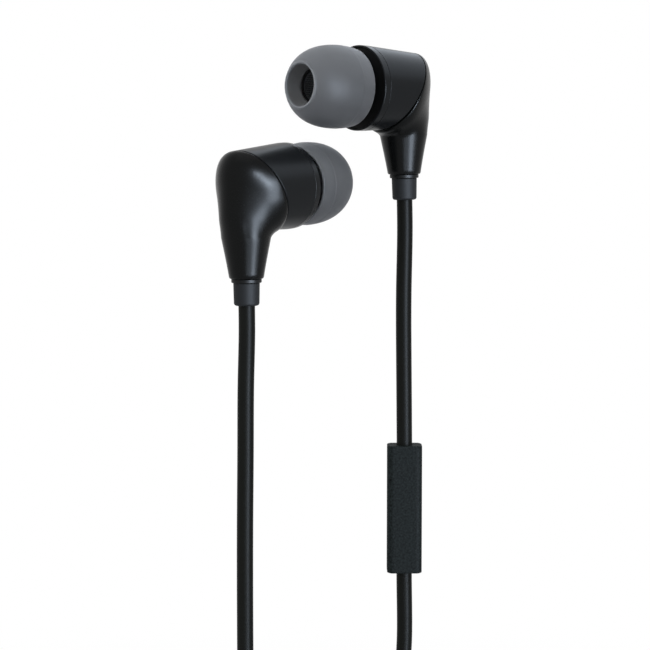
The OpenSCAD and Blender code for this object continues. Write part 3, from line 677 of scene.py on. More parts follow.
def crown_line():
    """The shell's outer line in its middle plane, from the seam's top down to the stem's back.

    Crown: a superellipse about (CROWN_X, CROWN_FROM), as high as the barrel's top at the seam.
    Back and stem: the stem's radius, behind the axis.
    """
    top = seam_point(np.array([np.pi]))[0]
    angle = np.linspace(np.pi / 2, 0, 40)
    power = 2 / CROWN_POWER
    rise = top[2] - CROWN_FROM
    crown_x = CROWN_X - (STEM_R + CROWN_X) * np.cos(angle) ** power
    crown_z = CROWN_FROM + rise * np.sin(angle) ** power
    keep = crown_x < top[0] - 0.05
    z = np.linspace(CROWN_FROM - 0.2, BLEND_TO, 60)
    x = np.concatenate([[top[0]], crown_x[keep], -stem_radius(z)])
    return x, np.concatenate([[top[2]], crown_z[keep], z])


def stem_radius(z):
    """The stem's radius at a height: a power curve up from its end, eased into the full radius."""
    share = np.maximum(z - STEM_END, 0) / (TAPER_FROM - STEM_END)
    short = (STEM_R - STEM_END_R) * (1 - share**TAPER_POWER)
    return STEM_R - (short + np.sqrt(short**2 + TAPER_SOFT**2)) / 2


def seam_point(angle):
    """Points of the barrel's outline on the seam plane, in the unit's frame."""
    radius = seam_radius(angle)
    u, v = radius * np.cos(angle), radius * np.sin(angle)
    return np.stack([u, v, seam_station(u)], -1) @ BARREL_AXES


def shell_sections(turn, shrink=0.0):
    """Rings of the shell in planes that fan about PIVOT, from the seam plane to level.

    A ring is an ellipse between the fold line under the barrel and the line over the crown,
    narrower towards the crown. Its half width falls from the barrel's to the stem's:
    share of the fall = 1 - (1 - t)^SHELL_FALL, with t eased in over SHELL_SOFT.
    """
    angle = np.linspace(0, 2 * np.pi, AROUND, endpoint=False)
    t = (turn - SEAM_LEAN) / (90 - SEAM_LEAN)
    soft_t = t * t / (t + SHELL_SOFT) * (1 + SHELL_SOFT)
    line_x, line_z = crown_line()
    line_turn = np.degrees(np.arctan2(PIVOT[0] - line_x, line_z - PIVOT[2]))
    line_far = np.hypot(PIVOT[0] - line_x, line_z - PIVOT[2])
    order = np.argsort(line_turn)
    far = np.interp(turn, line_turn[order], line_far[order])
    low = seam_point(np.array([0.0]))[0]
    near_seam = math.hypot(PIVOT[0] - low[0], low[2] - PIVOT[2])
    end_r = float(stem_radius(np.array(BLEND_TO)))
    near_end = PIVOT[0] - end_r
    side = np.where(turn < FOLD_MIN_AT, (FOLD_MIN_AT - turn) / (FOLD_MIN_AT - SEAM_LEAN), 0)
    foot = np.where(turn > FOLD_MIN_AT, (turn - FOLD_MIN_AT) / (90 - FOLD_MIN_AT), 0)
    near = FOLD_MIN + (near_seam - FOLD_MIN) * side**2 + (near_end - FOLD_MIN) * foot**2
    wide = seam_radius(np.array([np.pi / 2]))[0]
    width = end_r + (wide - end_r) * (1 - soft_t) ** SHELL_FALL
    egg = SHELL_EGG * np.sin(np.pi * np.clip(t, 0, 1) ** SHELL_EGG_POWER)
    middle, half = ((near + far) / 2)[:, None], ((far - near) / 2)[:, None]
    from_seam, level = np.radians(turn - SEAM_LEAN)[:, None], np.radians(turn)[:, None]
    behind = (middle + half * np.cos(angle)) * np.sin(from_seam)
    edge = np.clip(1 - behind / EDGE_ROUND, 0, 1)
    inset = EDGE_ROUND * (1 - np.sqrt(1 - edge**2)) if shrink == 0 else 0 * edge
    reach = middle + (half - shrink - inset) * np.cos(angle)
    narrowing = 1 - egg[:, None] * np.cos(angle)
    across = (width[:, None] - shrink - inset) * np.sin(angle) * narrowing
    x, z = PIVOT[0] - reach * np.sin(level), PIVOT[2] + reach * np.cos(level)
    return np.stack([x, across, z], -1)


def stem_ring(radius, z):
    """A ring of the stem, with its points in the same order as the shell's sections."""
    angle = np.linspace(0, 2 * np.pi, AROUND, endpoint=False)
    return np.stack([-radius * np.cos(angle), radius * np.sin(angle), z + 0 * angle], -1)


def back_shell():
    """The glossy shell, as one closed loft of rings.

    They run over the lip in the barrel, the hollow inside, the stem's floor and hole, the stem's
    rounded foot, up the stem, and over the outer sections back to the seam. The sections lie
    closer together towards the seam, the last of them at SEAM_TURNS degrees from it.
    """
    angle = np.pi - np.linspace(0, 2 * np.pi, AROUND, endpoint=False)
    lip_r, lip_in = BORE_R - FIT, BORE_R - FIT - LIP_WALL

    def lip(radius, move):
        u, v = radius * np.cos(angle), radius * np.sin(angle)
        return np.stack([u, v, seam_station(u, move)], -1) @ BARREL_AXES

    inside = shell_sections(np.linspace(SEAM_LEAN + HOLLOW_TURN, 90, 14), SHELL_WALL + HOLLOW_GAP)
    floor = STEM_END + STEM_FLOOR
    end_r = float(stem_radius(np.array(STEM_END)))
    low = [
        stem_ring(float(stem_radius(np.array(z))) - SHELL_WALL, z) for z in (*HOLLOW_STEM_Z, floor)
    ]
    hole = [stem_ring(STEM_HOLE_R, floor), stem_ring(STEM_HOLE_R, STEM_END)]
    flat_r, edge_z = end_r - STEM_EDGE, STEM_END + STEM_EDGE
    foot = [stem_ring(flat_r - 0.02, STEM_END)]
    for a in np.linspace(0, np.pi / 2, 6):
        foot.append(stem_ring(flat_r + STEM_EDGE * math.sin(a), edge_z - STEM_EDGE * math.cos(a)))
    up = np.linspace(edge_z + 0.05, BLEND_TO, 12, endpoint=False)
    stem = [stem_ring(float(stem_radius(np.array(z))), z) for z in up]
    share = np.linspace(1, 0, SECTIONS) ** SECTION_POWER
    coarse = (90 - SEAM_LEAN) * share[share > SECTION_LAST]
    outside = shell_sections(SEAM_LEAN + np.concatenate([coarse, SEAM_TURNS]))
    lips = [lip(lip_r, -0.02), lip(lip_r, LIP_DEPTH), lip(lip_in, LIP_DEPTH), lip(lip_in, -0.2)]
    return loft(np.concatenate([lips, inside, low, hole, foot, stem, outside]), closed=True)


def barrel():
    """The satin barrel: outside, rounded rear edge along the seam, bore, and front edge."""
    angle = np.linspace(0, 2 * np.pi, AROUND, endpoint=False)

    def at_seam(radius, inset, move):
        r = (seam_radius(angle, move) if radius is None else radius) - inset
        u, v = r * np.cos(angle), r * np.sin(angle)
        return np.stack([u, v, seam_station(u, move)], -1)

    def at_front(radius, station):
        return revolved([(radius, station)], AROUND)[0]

    e = EDGE_ROUND
    rear = [
        at_seam(None, e * (1 - math.sin(a)), SEAM_GAP + e * (1 - math.cos(a)))
        for a in np.linspace(0, np.pi / 2, 6)
    ]
    rear.append(at_seam(None, 0, SEAM_GAP + e + 0.04))
    seam_row, front_row = rear[-1], at_front(BARREL_FRONT_R - 0.004, BARREL_FRONT - 0.12)
    body = [seam_row + (front_row - seam_row) * s for s in np.linspace(0, 1, 14)[1:]]
    flat_r, edge_at = BARREL_FRONT_R - FRONT_EDGE, BARREL_FRONT - FRONT_EDGE
    front = [
        at_front(flat_r + FRONT_EDGE * math.cos(a), edge_at + FRONT_EDGE * math.sin(a))
        for a in np.linspace(0, np.pi / 2, 5)
    ]
    inner = [at_front(BORE_R, BARREL_FRONT), at_seam(BORE_R, 0, SEAM_GAP)]
    return loft(np.array(rear + body + front + inner) @ BARREL_AXES, closed=True)


def bezel():
    """The ring round the barrel's front edge, with its rounded front."""
    inner = BARREL_FRONT_R - BEZEL_WALL
    return rounded(
        [
            (inner, BARREL_FRONT + 0.01, 0),
            (BARREL_FRONT_R, BARREL_FRONT + 0.01, 0.07),
            (BARREL_FRONT_R, BEZEL_FRONT, BEZEL_ROUND),
            (inner, BEZEL_FRONT, 0.06),
        ],
        steps=8,
    )


def front_cover():
    """The face inside the bezel and the nozzle tube with its retaining ridge."""
    ridge = NOZZLE_END - RIDGE_BACK
    rim = BARREL_FRONT_R - BEZEL_WALL - FIT
    return rounded(
        [
            (NOZZLE_BORE_R, COVER_BACK, 0),
            (BORE_R - FIT, COVER_BACK, 0),
            (BORE_R - FIT, BARREL_FRONT + FIT, 0),
            (rim, BARREL_FRONT + FIT, 0),
            (rim, COVER_FACE, SOFT_EDGE),
            (NOZZLE_R, COVER_FACE, NOZZLE_FILLET),
            (NOZZLE_R, ridge - RIDGE_LEN, FINE_EDGE),
            (NOZZLE_R + RIDGE_H, ridge - RIDGE_LEN, FINE_EDGE),
            (NOZZLE_R + RIDGE_H, ridge - RIDGE_H, SOFT_EDGE),
            (NOZZLE_R, ridge, FINE_EDGE),
            (NOZZLE_R, NOZZLE_END, SOFT_EDGE),
            (NOZZLE_BORE_R + MESH_SEAT, NOZZLE_END, FINE_EDGE),
            (NOZZLE_BORE_R + MESH_SEAT, NOZZLE_END - MESH_THICK - FIT, 0),
            (NOZZLE_BORE_R, NOZZLE_END - MESH_THICK - FIT, FINE_EDGE),
        ]
    )


def dome_radius(s):
    """The ear tip's radius at a distance s in front of its hem.

    Superellipse: radius = TIP_R x (1 - (s / reach)^TIP_POWER)^(1 / TIP_POWER),
    which is TIP_FRONT_R at the lip.
    """
    dome = TIP_LEN - HEM_LEN - (TIP_FRONT_R - MOUTH_R) / 2
    reach = dome / (1 - (TIP_FRONT_R / TIP_R) ** TIP_POWER) ** (1 / TIP_POWER)
    return TIP_R * (1 - (np.asarray(s) / reach) ** TIP_POWER) ** (1 / TIP_POWER)


def ear_tip():
    """Outline of the ear tip, with a level of painted light and shade at each point, hem to mouth.

    It runs over hem, dome, lip, mouth, sleeve and the skirt's inside. The hem is a thinner band
    behind the dome, set in by a small round step.
    """
    rear = TIP_FRONT - TIP_LEN
    lip = (TIP_FRONT_R - MOUTH_R) / 2
    step = rear + HEM_LEN
    dome = TIP_FRONT - lip - step
    h = np.linspace(0, 1, 12)
    hem_r = HEM_R + (TIP_R - HEM_STEP - HEM_R) * (1 - (1 - h) ** 2)
    hem_z = rear + HEM_FOOT + (step - HEM_TOP - rear - HEM_FOOT) * h
    hem = np.stack([hem_r, hem_z], 1)
    b = np.linspace(np.pi, 2 * np.pi, 9)[1:-1]
    edge = circle_points(HEM_R - HEM_EDGE, rear + HEM_EDGE, HEM_EDGE, b)
    s = np.linspace(0.02, dome, 48)
    outer = np.stack([dome_radius(s), step + s], 1)
    a = np.linspace(0.2, np.pi - 0.1, 12)
    rim = circle_points(TIP_FRONT_R - lip, TIP_FRONT - lip, lip, a)
    mouth_foot = NOZZLE_END + FIT
    t = np.linspace(0, 1, 12)[1:]
    funnel_r = MOUTH_R - (MOUTH_R - MOUTH_FOOT_R) * t**FUNNEL_POWER
    funnel = np.stack([funnel_r, TIP_FRONT - lip - (TIP_FRONT - lip - mouth_foot) * t], 1)
    sleeve_end = NOZZLE_END - SLEEVE_LEN
    sleeve_out = SLEEVE_BORE_R + SLEEVE_WALL
    skirt_end = mouth_foot - SKIRT_BACK
    sleeve = np.array(
        [
            (SLEEVE_BORE_R, mouth_foot),
            (SLEEVE_BORE_R, mouth_foot - 0.05),
            (SLEEVE_BORE_R, sleeve_end + 0.1),
            (SLEEVE_BORE_R + 0.08, sleeve_end),
            (sleeve_out - 0.15, sleeve_end),
            (sleeve_out, sleeve_end + 0.15),
            (sleeve_out, skirt_end - 0.7),
            (sleeve_out + 0.15, skirt_end - 0.35),
        ]
    )
    q = np.linspace(skirt_end - step, 0, 24)
    inner = np.stack([dome_radius(q) - TIP_WALL, step + q], 1)
    inner = np.vstack([inner, [(HEM_R - 0.46, rear + 0.5)]])
    outline = np.concatenate([edge, hem, outer, rim, funnel, sleeve, inner])
    painted_levels = [HEM_PAINTED_LEVEL, DOME_PAINTED_LEVEL, RIM_PAINTED_LEVEL, MOUTH_PAINTED_LEVEL, INNER_PAINTED_LEVEL]
    counts = [len(edge) + len(hem), len(outer), len(rim), len(funnel), len(sleeve) + len(inner)]
    return outline, np.repeat(painted_levels, counts)


def woven_mesh():
    """The nozzle's wire mesh: two sets of wires that pass over and under each other, in a ring.

    height of a wire = WIRE_SWING x cos(pi x (distance / WIRE_PITCH + its number + its set))
    """
    reach = MESH_R - WIRE_STOP
    level = NOZZLE_END - FIT - MESH_THICK / 2
    shapes = []
    for crossing in (0, 1):
        for k in np.arange(-WIRES_EACH_SIDE, WIRES_EACH_SIDE + 1):
            place = k * WIRE_PITCH
            half = math.sqrt(max(reach**2 - place**2, 0))
            if half < WIRE_PITCH:
                continue
            along = np.linspace(-half, half, max(8, int(half / WIRE_PITCH * 8)))
            wave = WIRE_SWING * np.cos(np.pi * (along / WIRE_PITCH + k + crossing))
            line = np.stack([along, 0 * along + place, level + wave], 1)
            if crossing:
                line = line[:, [1, 0, 2]]
            shapes.append(loft(swept(line, circle(WIRE_R, 6))))
    inner, outer = reach - WIRE_HELD, MESH_R - MESH_RIM_GAP
    low, high = level - MESH_RIM_H / 2, level + MESH_RIM_H / 2
    rim = [(inner, low), (outer, low), (outer, high), (inner, high)]
    rim = rounded([(*corner, MESH_RIM_EDGE) for corner in rim], steps=3)
    shapes.append(lathed(rim, MESH_AROUND))
    return joined(*shapes)


def collar():
    """The thin collar between stem and boot, with rounded edges."""
    top, base = STEM_END, STEM_END - COLLAR_H
    return rounded(
        [
            (STEM_HOLE_R, base + 0.01, 0),
            (COLLAR_R, base + 0.01, 0.12),
            (COLLAR_R, top - 0.01, 0.12),
            (STEM_HOLE_R, top - 0.01, 0),
        ]
    )


def boot():
    """The rubber boot: rounded end, slight taper, and the neck and head that hold it."""
    top, end = STEM_END - COLLAR_H, STEM_END - COLLAR_H - BOOT_LEN
    neck = STEM_HOLE_R - FIT
    head = STEM_END + STEM_FLOOR + FIT
    return rounded(
        [
            (CORD_HOLE_R, end, 0.08),
            (BOOT_END_R, end, 0.38),
            (BOOT_R, top - 0.01, 0.1),
            (neck, top - 0.01, 0),
            (neck, head, 0),
            (BOOT_HEAD_R, head, 0.1),
            (BOOT_HEAD_R, head + BOOT_HEAD_H, 0.1),
            (CORD_HOLE_R, head + BOOT_HEAD_H, 0),
        ]
    )


def build_unit(side):
    """All shown pieces of one earphone."""

    def on_barrel(part, shape, slot, body="headset", thickness=None):
        """A piece drawn about +Z and laid along the barrel."""
        points, faces = shape
        shown(f"{side}_{part}", (along_barrel(side, points), faces), slot, body, thickness)

    def upright(part, shape, slot):
        """A piece drawn in the unit's own frame."""
        points, faces = shape
        shown(f"{side}_{part}", (placed(side, points), faces), slot)

    outline, thickness = ear_tip()
    # Each point of the ear tip carries its level of painted light and shade.
    painted_light_and_shade_per_point = np.repeat(thickness, AROUND)
    on_barrel("ear_tip", lathed(outline), "tip_silicone", f"{side}_tip", painted_light_and_shade_per_point)
    on_barrel("front_cover", lathed(front_cover()), "cover_black")
    on_barrel("bezel", lathed(bezel()), "bezel_metal")
    on_barrel("nozzle_mesh", woven_mesh(), "mesh_steel")
    upright("barrel", barrel(), "barrel_satin")
    upright("back_shell", back_shell(), "shell_gloss")
    upright("collar", lathed(collar()), "collar_black")
    upright("boot", lathed(boot()), "boot_rubber")


for side in SIDES:
    build_unit(side)


# ---- The remote ----

END_ROUND, CASE_CORNER, CASE_WALL = 0.1, 0.12, 0.7
HOLLOW_SHARE, SPLIT_GAP = 0.8, 0.03
BUTTON_FOOT = 1.3
BUTTON_STEPS = [
    (0.0, 0.35),
    (0.0, 0.2),
    (0.03, 0.1),
    (0.1, 0.02),
    (0.2, 0.0),
    (0.4, 0.02),
    (0.7, 0.07),
    (1.0, 0.1),
    (1.25, 0.11),
]
HOLE_DEPTH, HOLE_FLARE, HOLE_FLARE_DEPTH = 1.2, 0.15, 0.12
# Depth and thickness of the dark disc that paints shade in the microphone's hole.
HOLE_SHADE_AT, HOLE_SHADE_THICK = 0.5, 0.1


def slab_outline(width, height, corner, steps):
    """A rectangle with rounded corners, anticlockwise, in (across, up)."""
    w, h = width / 2, height / 2
    corners = [(w, -h, corner), (w, h, corner), (-w, h, corner), (-w, -h, corner)]
    return rounded(corners, steps, 0.05)


def stadium(width, height, count):
    """`count` points round a stadium, anticlockwise from the middle of its right side.

    The way round is half a straight side, a half circle, a side, a half circle and half a side.
    """
    r, straight = width / 2, height / 2 - width / 2
    bend = math.pi * r
    length = 4 * straight + 2 * bend
    s = np.linspace(0, length, count, endpoint=False)
    x, z = np.zeros(count), np.zeros(count)
    a = s < straight
    x[a], z[a] = r, s[a]
    b = (s >= straight) & (s < straight + bend)
    t = (s[b] - straight) / r
    x[b], z[b] = r * np.cos(t), straight + r * np.sin(t)
    c = (s >= straight + bend) & (s < 3 * straight + bend)
    x[c], z[c] = -r, straight - (s[c] - straight - bend)
    d = (s >= 3 * straight + bend) & (s < 3 * straight + 2 * bend)
    t = (s[d] - 3 * straight - bend) / r + math.pi
    x[d], z[d] = r * np.cos(t), -straight + r * np.sin(t)
    e = s >= 3 * straight + 2 * bend
    x[e], z[e] = r, s[e] - length
    return np.stack([x, z], 1)


def case_ring(depth, shrink=1.0):
    """Outline of the remote's case at a depth from its middle plane, times `shrink`.

    It runs anticlockwise from +X. The long edges are rounded by REMOTE_ROUND and the short ones
    by END_ROUND, both as quarter circles, and the points are at equal steps of angle.
    """

    def inset(radius):
        over = max(depth - (REMOTE_D / 2 - radius), 0)
        return radius - math.sqrt(max(radius**2 - over**2, 0))

    w = REMOTE_W / 2 - inset(REMOTE_ROUND)
    h = REMOTE_H / 2 - inset(END_ROUND)
    outline = slab_outline(2 * w, 2 * h, CASE_CORNER, 6)
    start = np.argmin(np.abs(np.arctan2(outline[:, 1] / h, outline[:, 0] / w)))
    loop = np.roll(outline, -start, axis=0)
    loop = np.vstack([loop, loop[:1]])
    where = np.unwrap(np.arctan2(loop[:, 1] / h, loop[:, 0] / w))
    want = np.linspace(0, 2 * np.pi, CASE_AROUND, endpoint=False)
    return shrink * np.stack([np.interp(want, where, loop[:, k]) for k in (0, 1)], 1)


def laid_flat(outline, depth):
    """An outline (across, up) at a depth along +Y."""
    return np.stack([outline[:, 0], np.full(len(outline), depth), outline[:, 1]], -1)


def case_outside():
    """Rings of a cover from the middle plane out over its rounded edges: (outline, depth) each."""
    flat = REMOTE_D / 2 - REMOTE_ROUND
    turn = np.linspace(0, np.pi / 2, 10)[1:]
    depths = np.concatenate([np.linspace(0.3, flat, 4), flat + REMOTE_ROUND * np.sin(turn)])
    rows = [(case_ring(0.0, 0.997), SPLIT_GAP), (case_ring(0.0), 0.07)]
    return rows + [(case_ring(depth), depth) for depth in depths]


def remote_front_shape():
    """The plain cover: its face blends from the case's outline to its middle.

    Behind the face is a wall of CASE_WALL, and behind that the hollow.
    """
    full, hollow = REMOTE_D / 2, case_ring(0.0, HOLLOW_SHARE)
    last = case_ring(full)
    inside = [(case_ring(0.0, 0.02), full - CASE_WALL), (hollow, full - CASE_WALL)]
    inside.append((hollow, SPLIT_GAP))
    face = [(last * (1 - share), full) for share in (0.03, 0.3, 0.6, 0.85, 0.98)]
    rows = [laid_flat(outline, -depth) for outline, depth in inside + case_outside() + face]
    return loft(np.array(rows) + REMOTE_AT)


def remote_rear_shape():
    """The cover with the button's slot: its face blends from the case's outline to the slot's."""
    full, hollow = REMOTE_D / 2, case_ring(0.0, HOLLOW_SHARE)
    last = case_ring(full)
    slot = stadium(BUTTON_W + 2 * BUTTON_GAP, BUTTON_H + 2 * BUTTON_GAP, CASE_AROUND)
    face = [(last + (slot - last) * share, full) for share in (0.03, 0.3, 0.6, 0.9, 0.985)]
    inside = [(slot, full - 0.03), (slot, full - CASE_WALL)]
    inside += [(hollow, full - CASE_WALL), (hollow, SPLIT_GAP)]
    rows = [laid_flat(outline, depth) for outline, depth in case_outside() + face + inside]
    return loft(np.array(rows) + REMOTE_AT, closed=True)


def button_shape():
    """The button: a stadium with a softly dished face, standing out of the rear cover.

    Each of BUTTON_STEPS is (inset of the outline, depth under the face's highest ring).
    """
    face = REMOTE_D / 2 + BUTTON_OUT
    steps = [(0.0, BUTTON_FOOT)] + [(inset, face - under) for inset, under in BUTTON_STEPS]
    rows = []
    for inset, depth in steps:
        outline = stadium(max(BUTTON_W - 2 * inset, 0.05), BUTTON_H - 2 * inset, BUTTON_AROUND)
        rows.append(laid_flat(outline, depth))
    return loft(np.array(rows) + REMOTE_AT)


def drilled(target, shape):
    """Takes a solid, given as (points in millimetres, faces), away from a piece's mesh."""
    drill = add("drill", mesh_of("drill", shape))
    hole = target.modifiers.new("hole", "BOOLEAN")
    hole.object, hole.operation, hole.solver = drill, "DIFFERENCE", "EXACT"
    ready = target.evaluated_get(bpy.context.evaluated_depsgraph_get())
    result = bpy.data.meshes.new_from_object(ready)
    target.modifiers.clear()
    target.data = result
    result.set_sharp_from_angle(angle=math.radians(50))
    bpy.data.objects.remove(drill)


def at_sound_hole(profile):
    """A profile (radius, depth along +Y) turned about the axis of the microphone's hole."""
    turned = revolved(profile, HOLE_AROUND)[..., [0, 2, 1]]
    return loft(turned + REMOTE_AT + np.array([0, 0, MIC_Z]))


def sound_hole():
    """The drill for the microphone's hole: a rod along +Y that widens at the cover's face."""
    face, flare = REMOTE_D / 2, MIC_R + HOLE_FLARE
    return at_sound_hole(
        [
            (0.0, face - HOLE_DEPTH),
            (MIC_R, face - HOLE_DEPTH),
            (MIC_R, face - HOLE_FLARE_DEPTH),
            (flare, face + 0.03),
            (flare, face + 0.3),
            (0.0, face + 0.3),
        ]
    )


def hole_shade_disc():
    """A dark disc that closes the microphone's hole at a set depth below the cover's face: painted
    shade, standing in for the shade inside the hole.
    """
    front, radius = REMOTE_D / 2 - HOLE_SHADE_AT, MIC_R - 0.02
    back = front - HOLE_SHADE_THICK
    return at_sound_hole([(0.0, back), (radius, back), (radius, front), (0.0, front)])


remote_front = shown("remote_front_cover", remote_front_shape(), "remote_matte")
remote_rear = shown("remote_rear_cover", remote_rear_shape(), "remote_matte")
drilled(remote_rear, sound_hole())
# Painted shade: a dark disc in the microphone's hole.
piece("microphone_hole_shade_shown", hole_shade_disc(), "cover_black")
remote_button = shown("remote_button", button_shape(), "button_matte", "button")


# ---- Cords ----

CORD_TOP = STEM_END + STEM_FLOOR + FIT + BOOT_HEAD_H + FIT
KNOT_STEP = 6
OUTER_TURNS, INNER_TURNS, INNER_SHIFT = 1.75, 6.25, 2.44
OUTER_COLUMN, INNER_COLUMN = 6.1, -8.54
LEFT_LIFT, RIGHT_LIFT = 1.2, 0.36

# Knots: down to the hank from the boots and the remote, and on from the hank to the ends.
IN_STEM = [(0, 0, CORD_TOP), (0, 0, -17), (0, 0, -20)]
LEFT_DOWN = [
    (-12.1, -9, -42), (-12.2, -9, -52), (-12.3, -9, -62), (-12.35, -9, -72),
    (-12.35, -9, -80), (-12.2, -9, -87), (-11.8, -8.8, -91), (-10.9, -8, -95), (-9.6, -7, -99),
]
LEFT_LEAVE = [
    (-2.09, -2.87, -92.68), (-7.13, -6.91, -94.19), (-5.78, -11.05, -100.26),
    (-2.53, -10.67, -103.58), (-1.5, -9.5, -111), (-1.35, -9.5, -114.5), (-1.35, -9.5, -118),
]
RIGHT_TO_REMOTE = [(11.42, 9.93, -30), (11.46, 9.9, -42), (11.56, 9.9, -52), (11.6, 9.9, -56.3)]
RIGHT_DOWN = [
    (11.6, 9.9, -72.7), (11.62, 9.9, -76), (11.7, 9.9, -81), (11.6, 9.8, -87),
    (11.2, 9.4, -91), (10.4, 8.4, -95), (9.2, 7, -99),
]
RIGHT_LEAVE = [
    (3.02, 2.05, -94.2), (6.46, 0.23, -94.48), (8.43, -4.76, -95.14), (7.1, -8.35, -96.72),
    (3.73, -10.16, -99.57), (1.86, -9.41, -110.07), (1.35, -9.5, -114.5), (1.35, -9.5, -118),
]
MAIN_ENTER = [
    (0, -9.5, -130), (0, -9.5, -132.3), (-0.84, -9.45, -135.4),
    (-3.25, -9.2, -138), (-5.66, -8.9, -140.6), (-6.62, -8.6, -144),
]
MAIN_LEAVE = [
    (-4.21, 6.5, -134.36), (-4.19, 8.52, -138.98), (-1.34, 8.04, -147.02),
    (-0.3, 8.6, -154), (0, 8.6, -158), (0, 8.6, -164),
]


def run_x(z):
    """Half width of the hank's inner layer, from the waist to the end loop along half a wave.

    HANK_WAIST_R + (HANK_LOOP_R - HANK_WAIST_R) x (0.5 - 0.5 cos(2 pi z / HANK_RUN))
    """
    share = 0.5 - 0.5 * np.cos(2 * np.pi * z / HANK_RUN)
    return HANK_WAIST_R + (HANK_LOOP_R - HANK_WAIST_R) * share


def turn_line(layer):
    """One turn of the hank, seen from the front, anticlockwise from the top of its left side.

    Returns its four parts: down the left run, round the bottom, up the right run and over the top.
    """
    half = HANK_RUN / 2
    down = np.linspace(half, -half, 60)
    arc = np.linspace(0, np.pi, 40)[1:-1]
    radius = HANK_LOOP_R + layer
    left = np.stack([-(run_x(down) + layer), down], 1)
    bottom = np.stack([-radius * np.cos(arc), -half - radius * np.sin(arc)], 1)
    right = np.stack([run_x(down[::-1]) + layer, down[::-1]], 1)
    top = np.stack([radius * np.cos(arc), half + radius * np.sin(arc)], 1)
    return left, bottom, right, top


def winding(layer, front, turns, shift_at, step, mirror=1):
    """Points of several turns, and where along Y they end.

    Each turn goes round once, and shifts by `step` along Y while it is in its part `shift_at`.
    """
    parts = turn_line(layer)
    out, y = [], front
    whole = int(math.floor(turns))
    for n in range(whole + 1):
        for k, part in enumerate(parts):
            if n == whole and k / len(parts) >= turns - whole - 1e-6:
                break
            share = np.linspace(0, 1, len(part)) if k == shift_at else np.zeros(len(part))
            along_y = y + step * eased(share)
            out.append(np.stack([part[:, 0] * mirror, along_y, HANK_Z + part[:, 1]], 1))
            if k == shift_at:
                y += step
    return np.concatenate(out), y


def over_the_top(column, mirror, step, lift):
    """The first half of a turn's top arc, shifting by up to half a `step` along Y.

    It also rises, by `lift` x (share of its last three fifths)^2.
    """
    top = turn_line(LAYER_STEP)[3]
    half = top[: len(top) // 2]
    share = np.linspace(0, 0.5, len(half))
    rise = np.clip((share - 0.2) / 0.3, 0, 1) ** 2 * lift
    along_y = column + step * eased(share)
    return np.stack([mirror * half[:, 0], along_y, HANK_Z + half[:, 1] + rise], 1)[::KNOT_STEP]


def joined_line(*runs):
    """The smooth line through several runs of knots, one after another."""
    return smooth_line(np.vstack(runs), CORD_STEP)


def left_cord_line():
    """From the left stem to the hank, nearly two turns round it, over its top to the splitter."""
    turns, column = winding(LAYER_STEP, -OUTER_COLUMN, OUTER_TURNS, 3, COLUMN_STEP)
    over = over_the_top(column, 1, COLUMN_STEP, LEFT_LIFT)
    start = placed("left", IN_STEM)
    return joined_line(start, LEFT_DOWN, turns[4::KNOT_STEP], over, LEFT_LEAVE)


def right_upper_line():
    """From the right stem down into the remote."""
    return joined_line(placed("right", IN_STEM), RIGHT_TO_REMOTE)


def right_lower_line():
    """From the remote to the hank, nearly two turns round it the other way, to the splitter."""
    turns, column = winding(LAYER_STEP, OUTER_COLUMN, OUTER_TURNS, 3, -COLUMN_STEP, mirror=-1)
    over = over_the_top(column, -1, -COLUMN_STEP, RIGHT_LIFT)
    return joined_line(RIGHT_DOWN, turns[4::KNOT_STEP], over, RIGHT_LEAVE)


def main_cord_line():
    """From the splitter into the hank's front, six turns to its back, and down into the plug."""
    turns = winding(0.0, INNER_COLUMN, INNER_TURNS, 1, INNER_SHIFT)[0]
    first = len(turn_line(0.0)[0]) + 5
    return joined_line(MAIN_ENTER, turns[first:-16:KNOT_STEP], MAIN_LEAVE)


# ---- Splitter and tie ----

SPLITTER_TOP, SPLITTER_BASE = HANK_Z + SPLITTER_LEN / 2, HANK_Z - SPLITTER_LEN / 2
SPLITTER_EDGE, SPLITTER_POWER, SPLITTER_END_POWER, SHOULDER = 0.45, 2.8, 2.0, 1.0
TIE_ROUND, TIE_CORNER, TIE_BACK_CORNER, TIE_FRONT_CORNER = 0.4, 2.0, 1.2, 1.9
BEAD_R = 0.3
BEAD_AT = CORD_R + BEAD_R
CORD_APART = 2.7


def splitter_shape():
    """The Y splitter: a slab of superellipses that narrows to a round end, with soft edges.

    Half width, half depth and power go from the slab's to the round end's by a smooth step of
    the height, and both ends are drawn in along a quarter circle of radius SPLITTER_EDGE.
    """
    edge, arc = SPLITTER_EDGE, np.linspace(0.1, np.pi / 2, 7)
    sunk, drawn_in = edge - edge * np.cos(arc), edge - edge * np.sin(arc)
    body = np.linspace(SPLITTER_TOP - 1.2, SPLITTER_BASE + 0.8, 24)
    top, base, rim = [SPLITTER_TOP] * 2, [SPLITTER_BASE] * 2, [edge, edge - 0.02]
    z = np.concatenate([top, SPLITTER_TOP - sunk, body, SPLITTER_BASE + sunk[::-1], base])
    inset = np.concatenate([rim, drawn_in, 0 * body, drawn_in[::-1], rim[::-1]])[:, None]
    t = eased(np.clip((HANK_Z - SHOULDER - z) / (SPLITTER_LEN / 2 - SHOULDER), 0, 1))[:, None]
    w = SPLITTER_W / 2 + (SPLITTER_END_R - SPLITTER_W / 2) * t - inset
    d = SPLITTER_D / 2 + (SPLITTER_END_R - SPLITTER_D / 2) * t - inset
    power = 2 / (SPLITTER_POWER + (SPLITTER_END_POWER - SPLITTER_POWER) * t)
    c, s = circle(1.0, SPLITTER_AROUND).T
    x = w * np.sign(c) * np.abs(c) ** power
    y = d * np.sign(s) * np.abs(s) ** power
    return loft(np.stack([x, SPLITTER_Y + y, z[:, None] + 0 * x], -1))


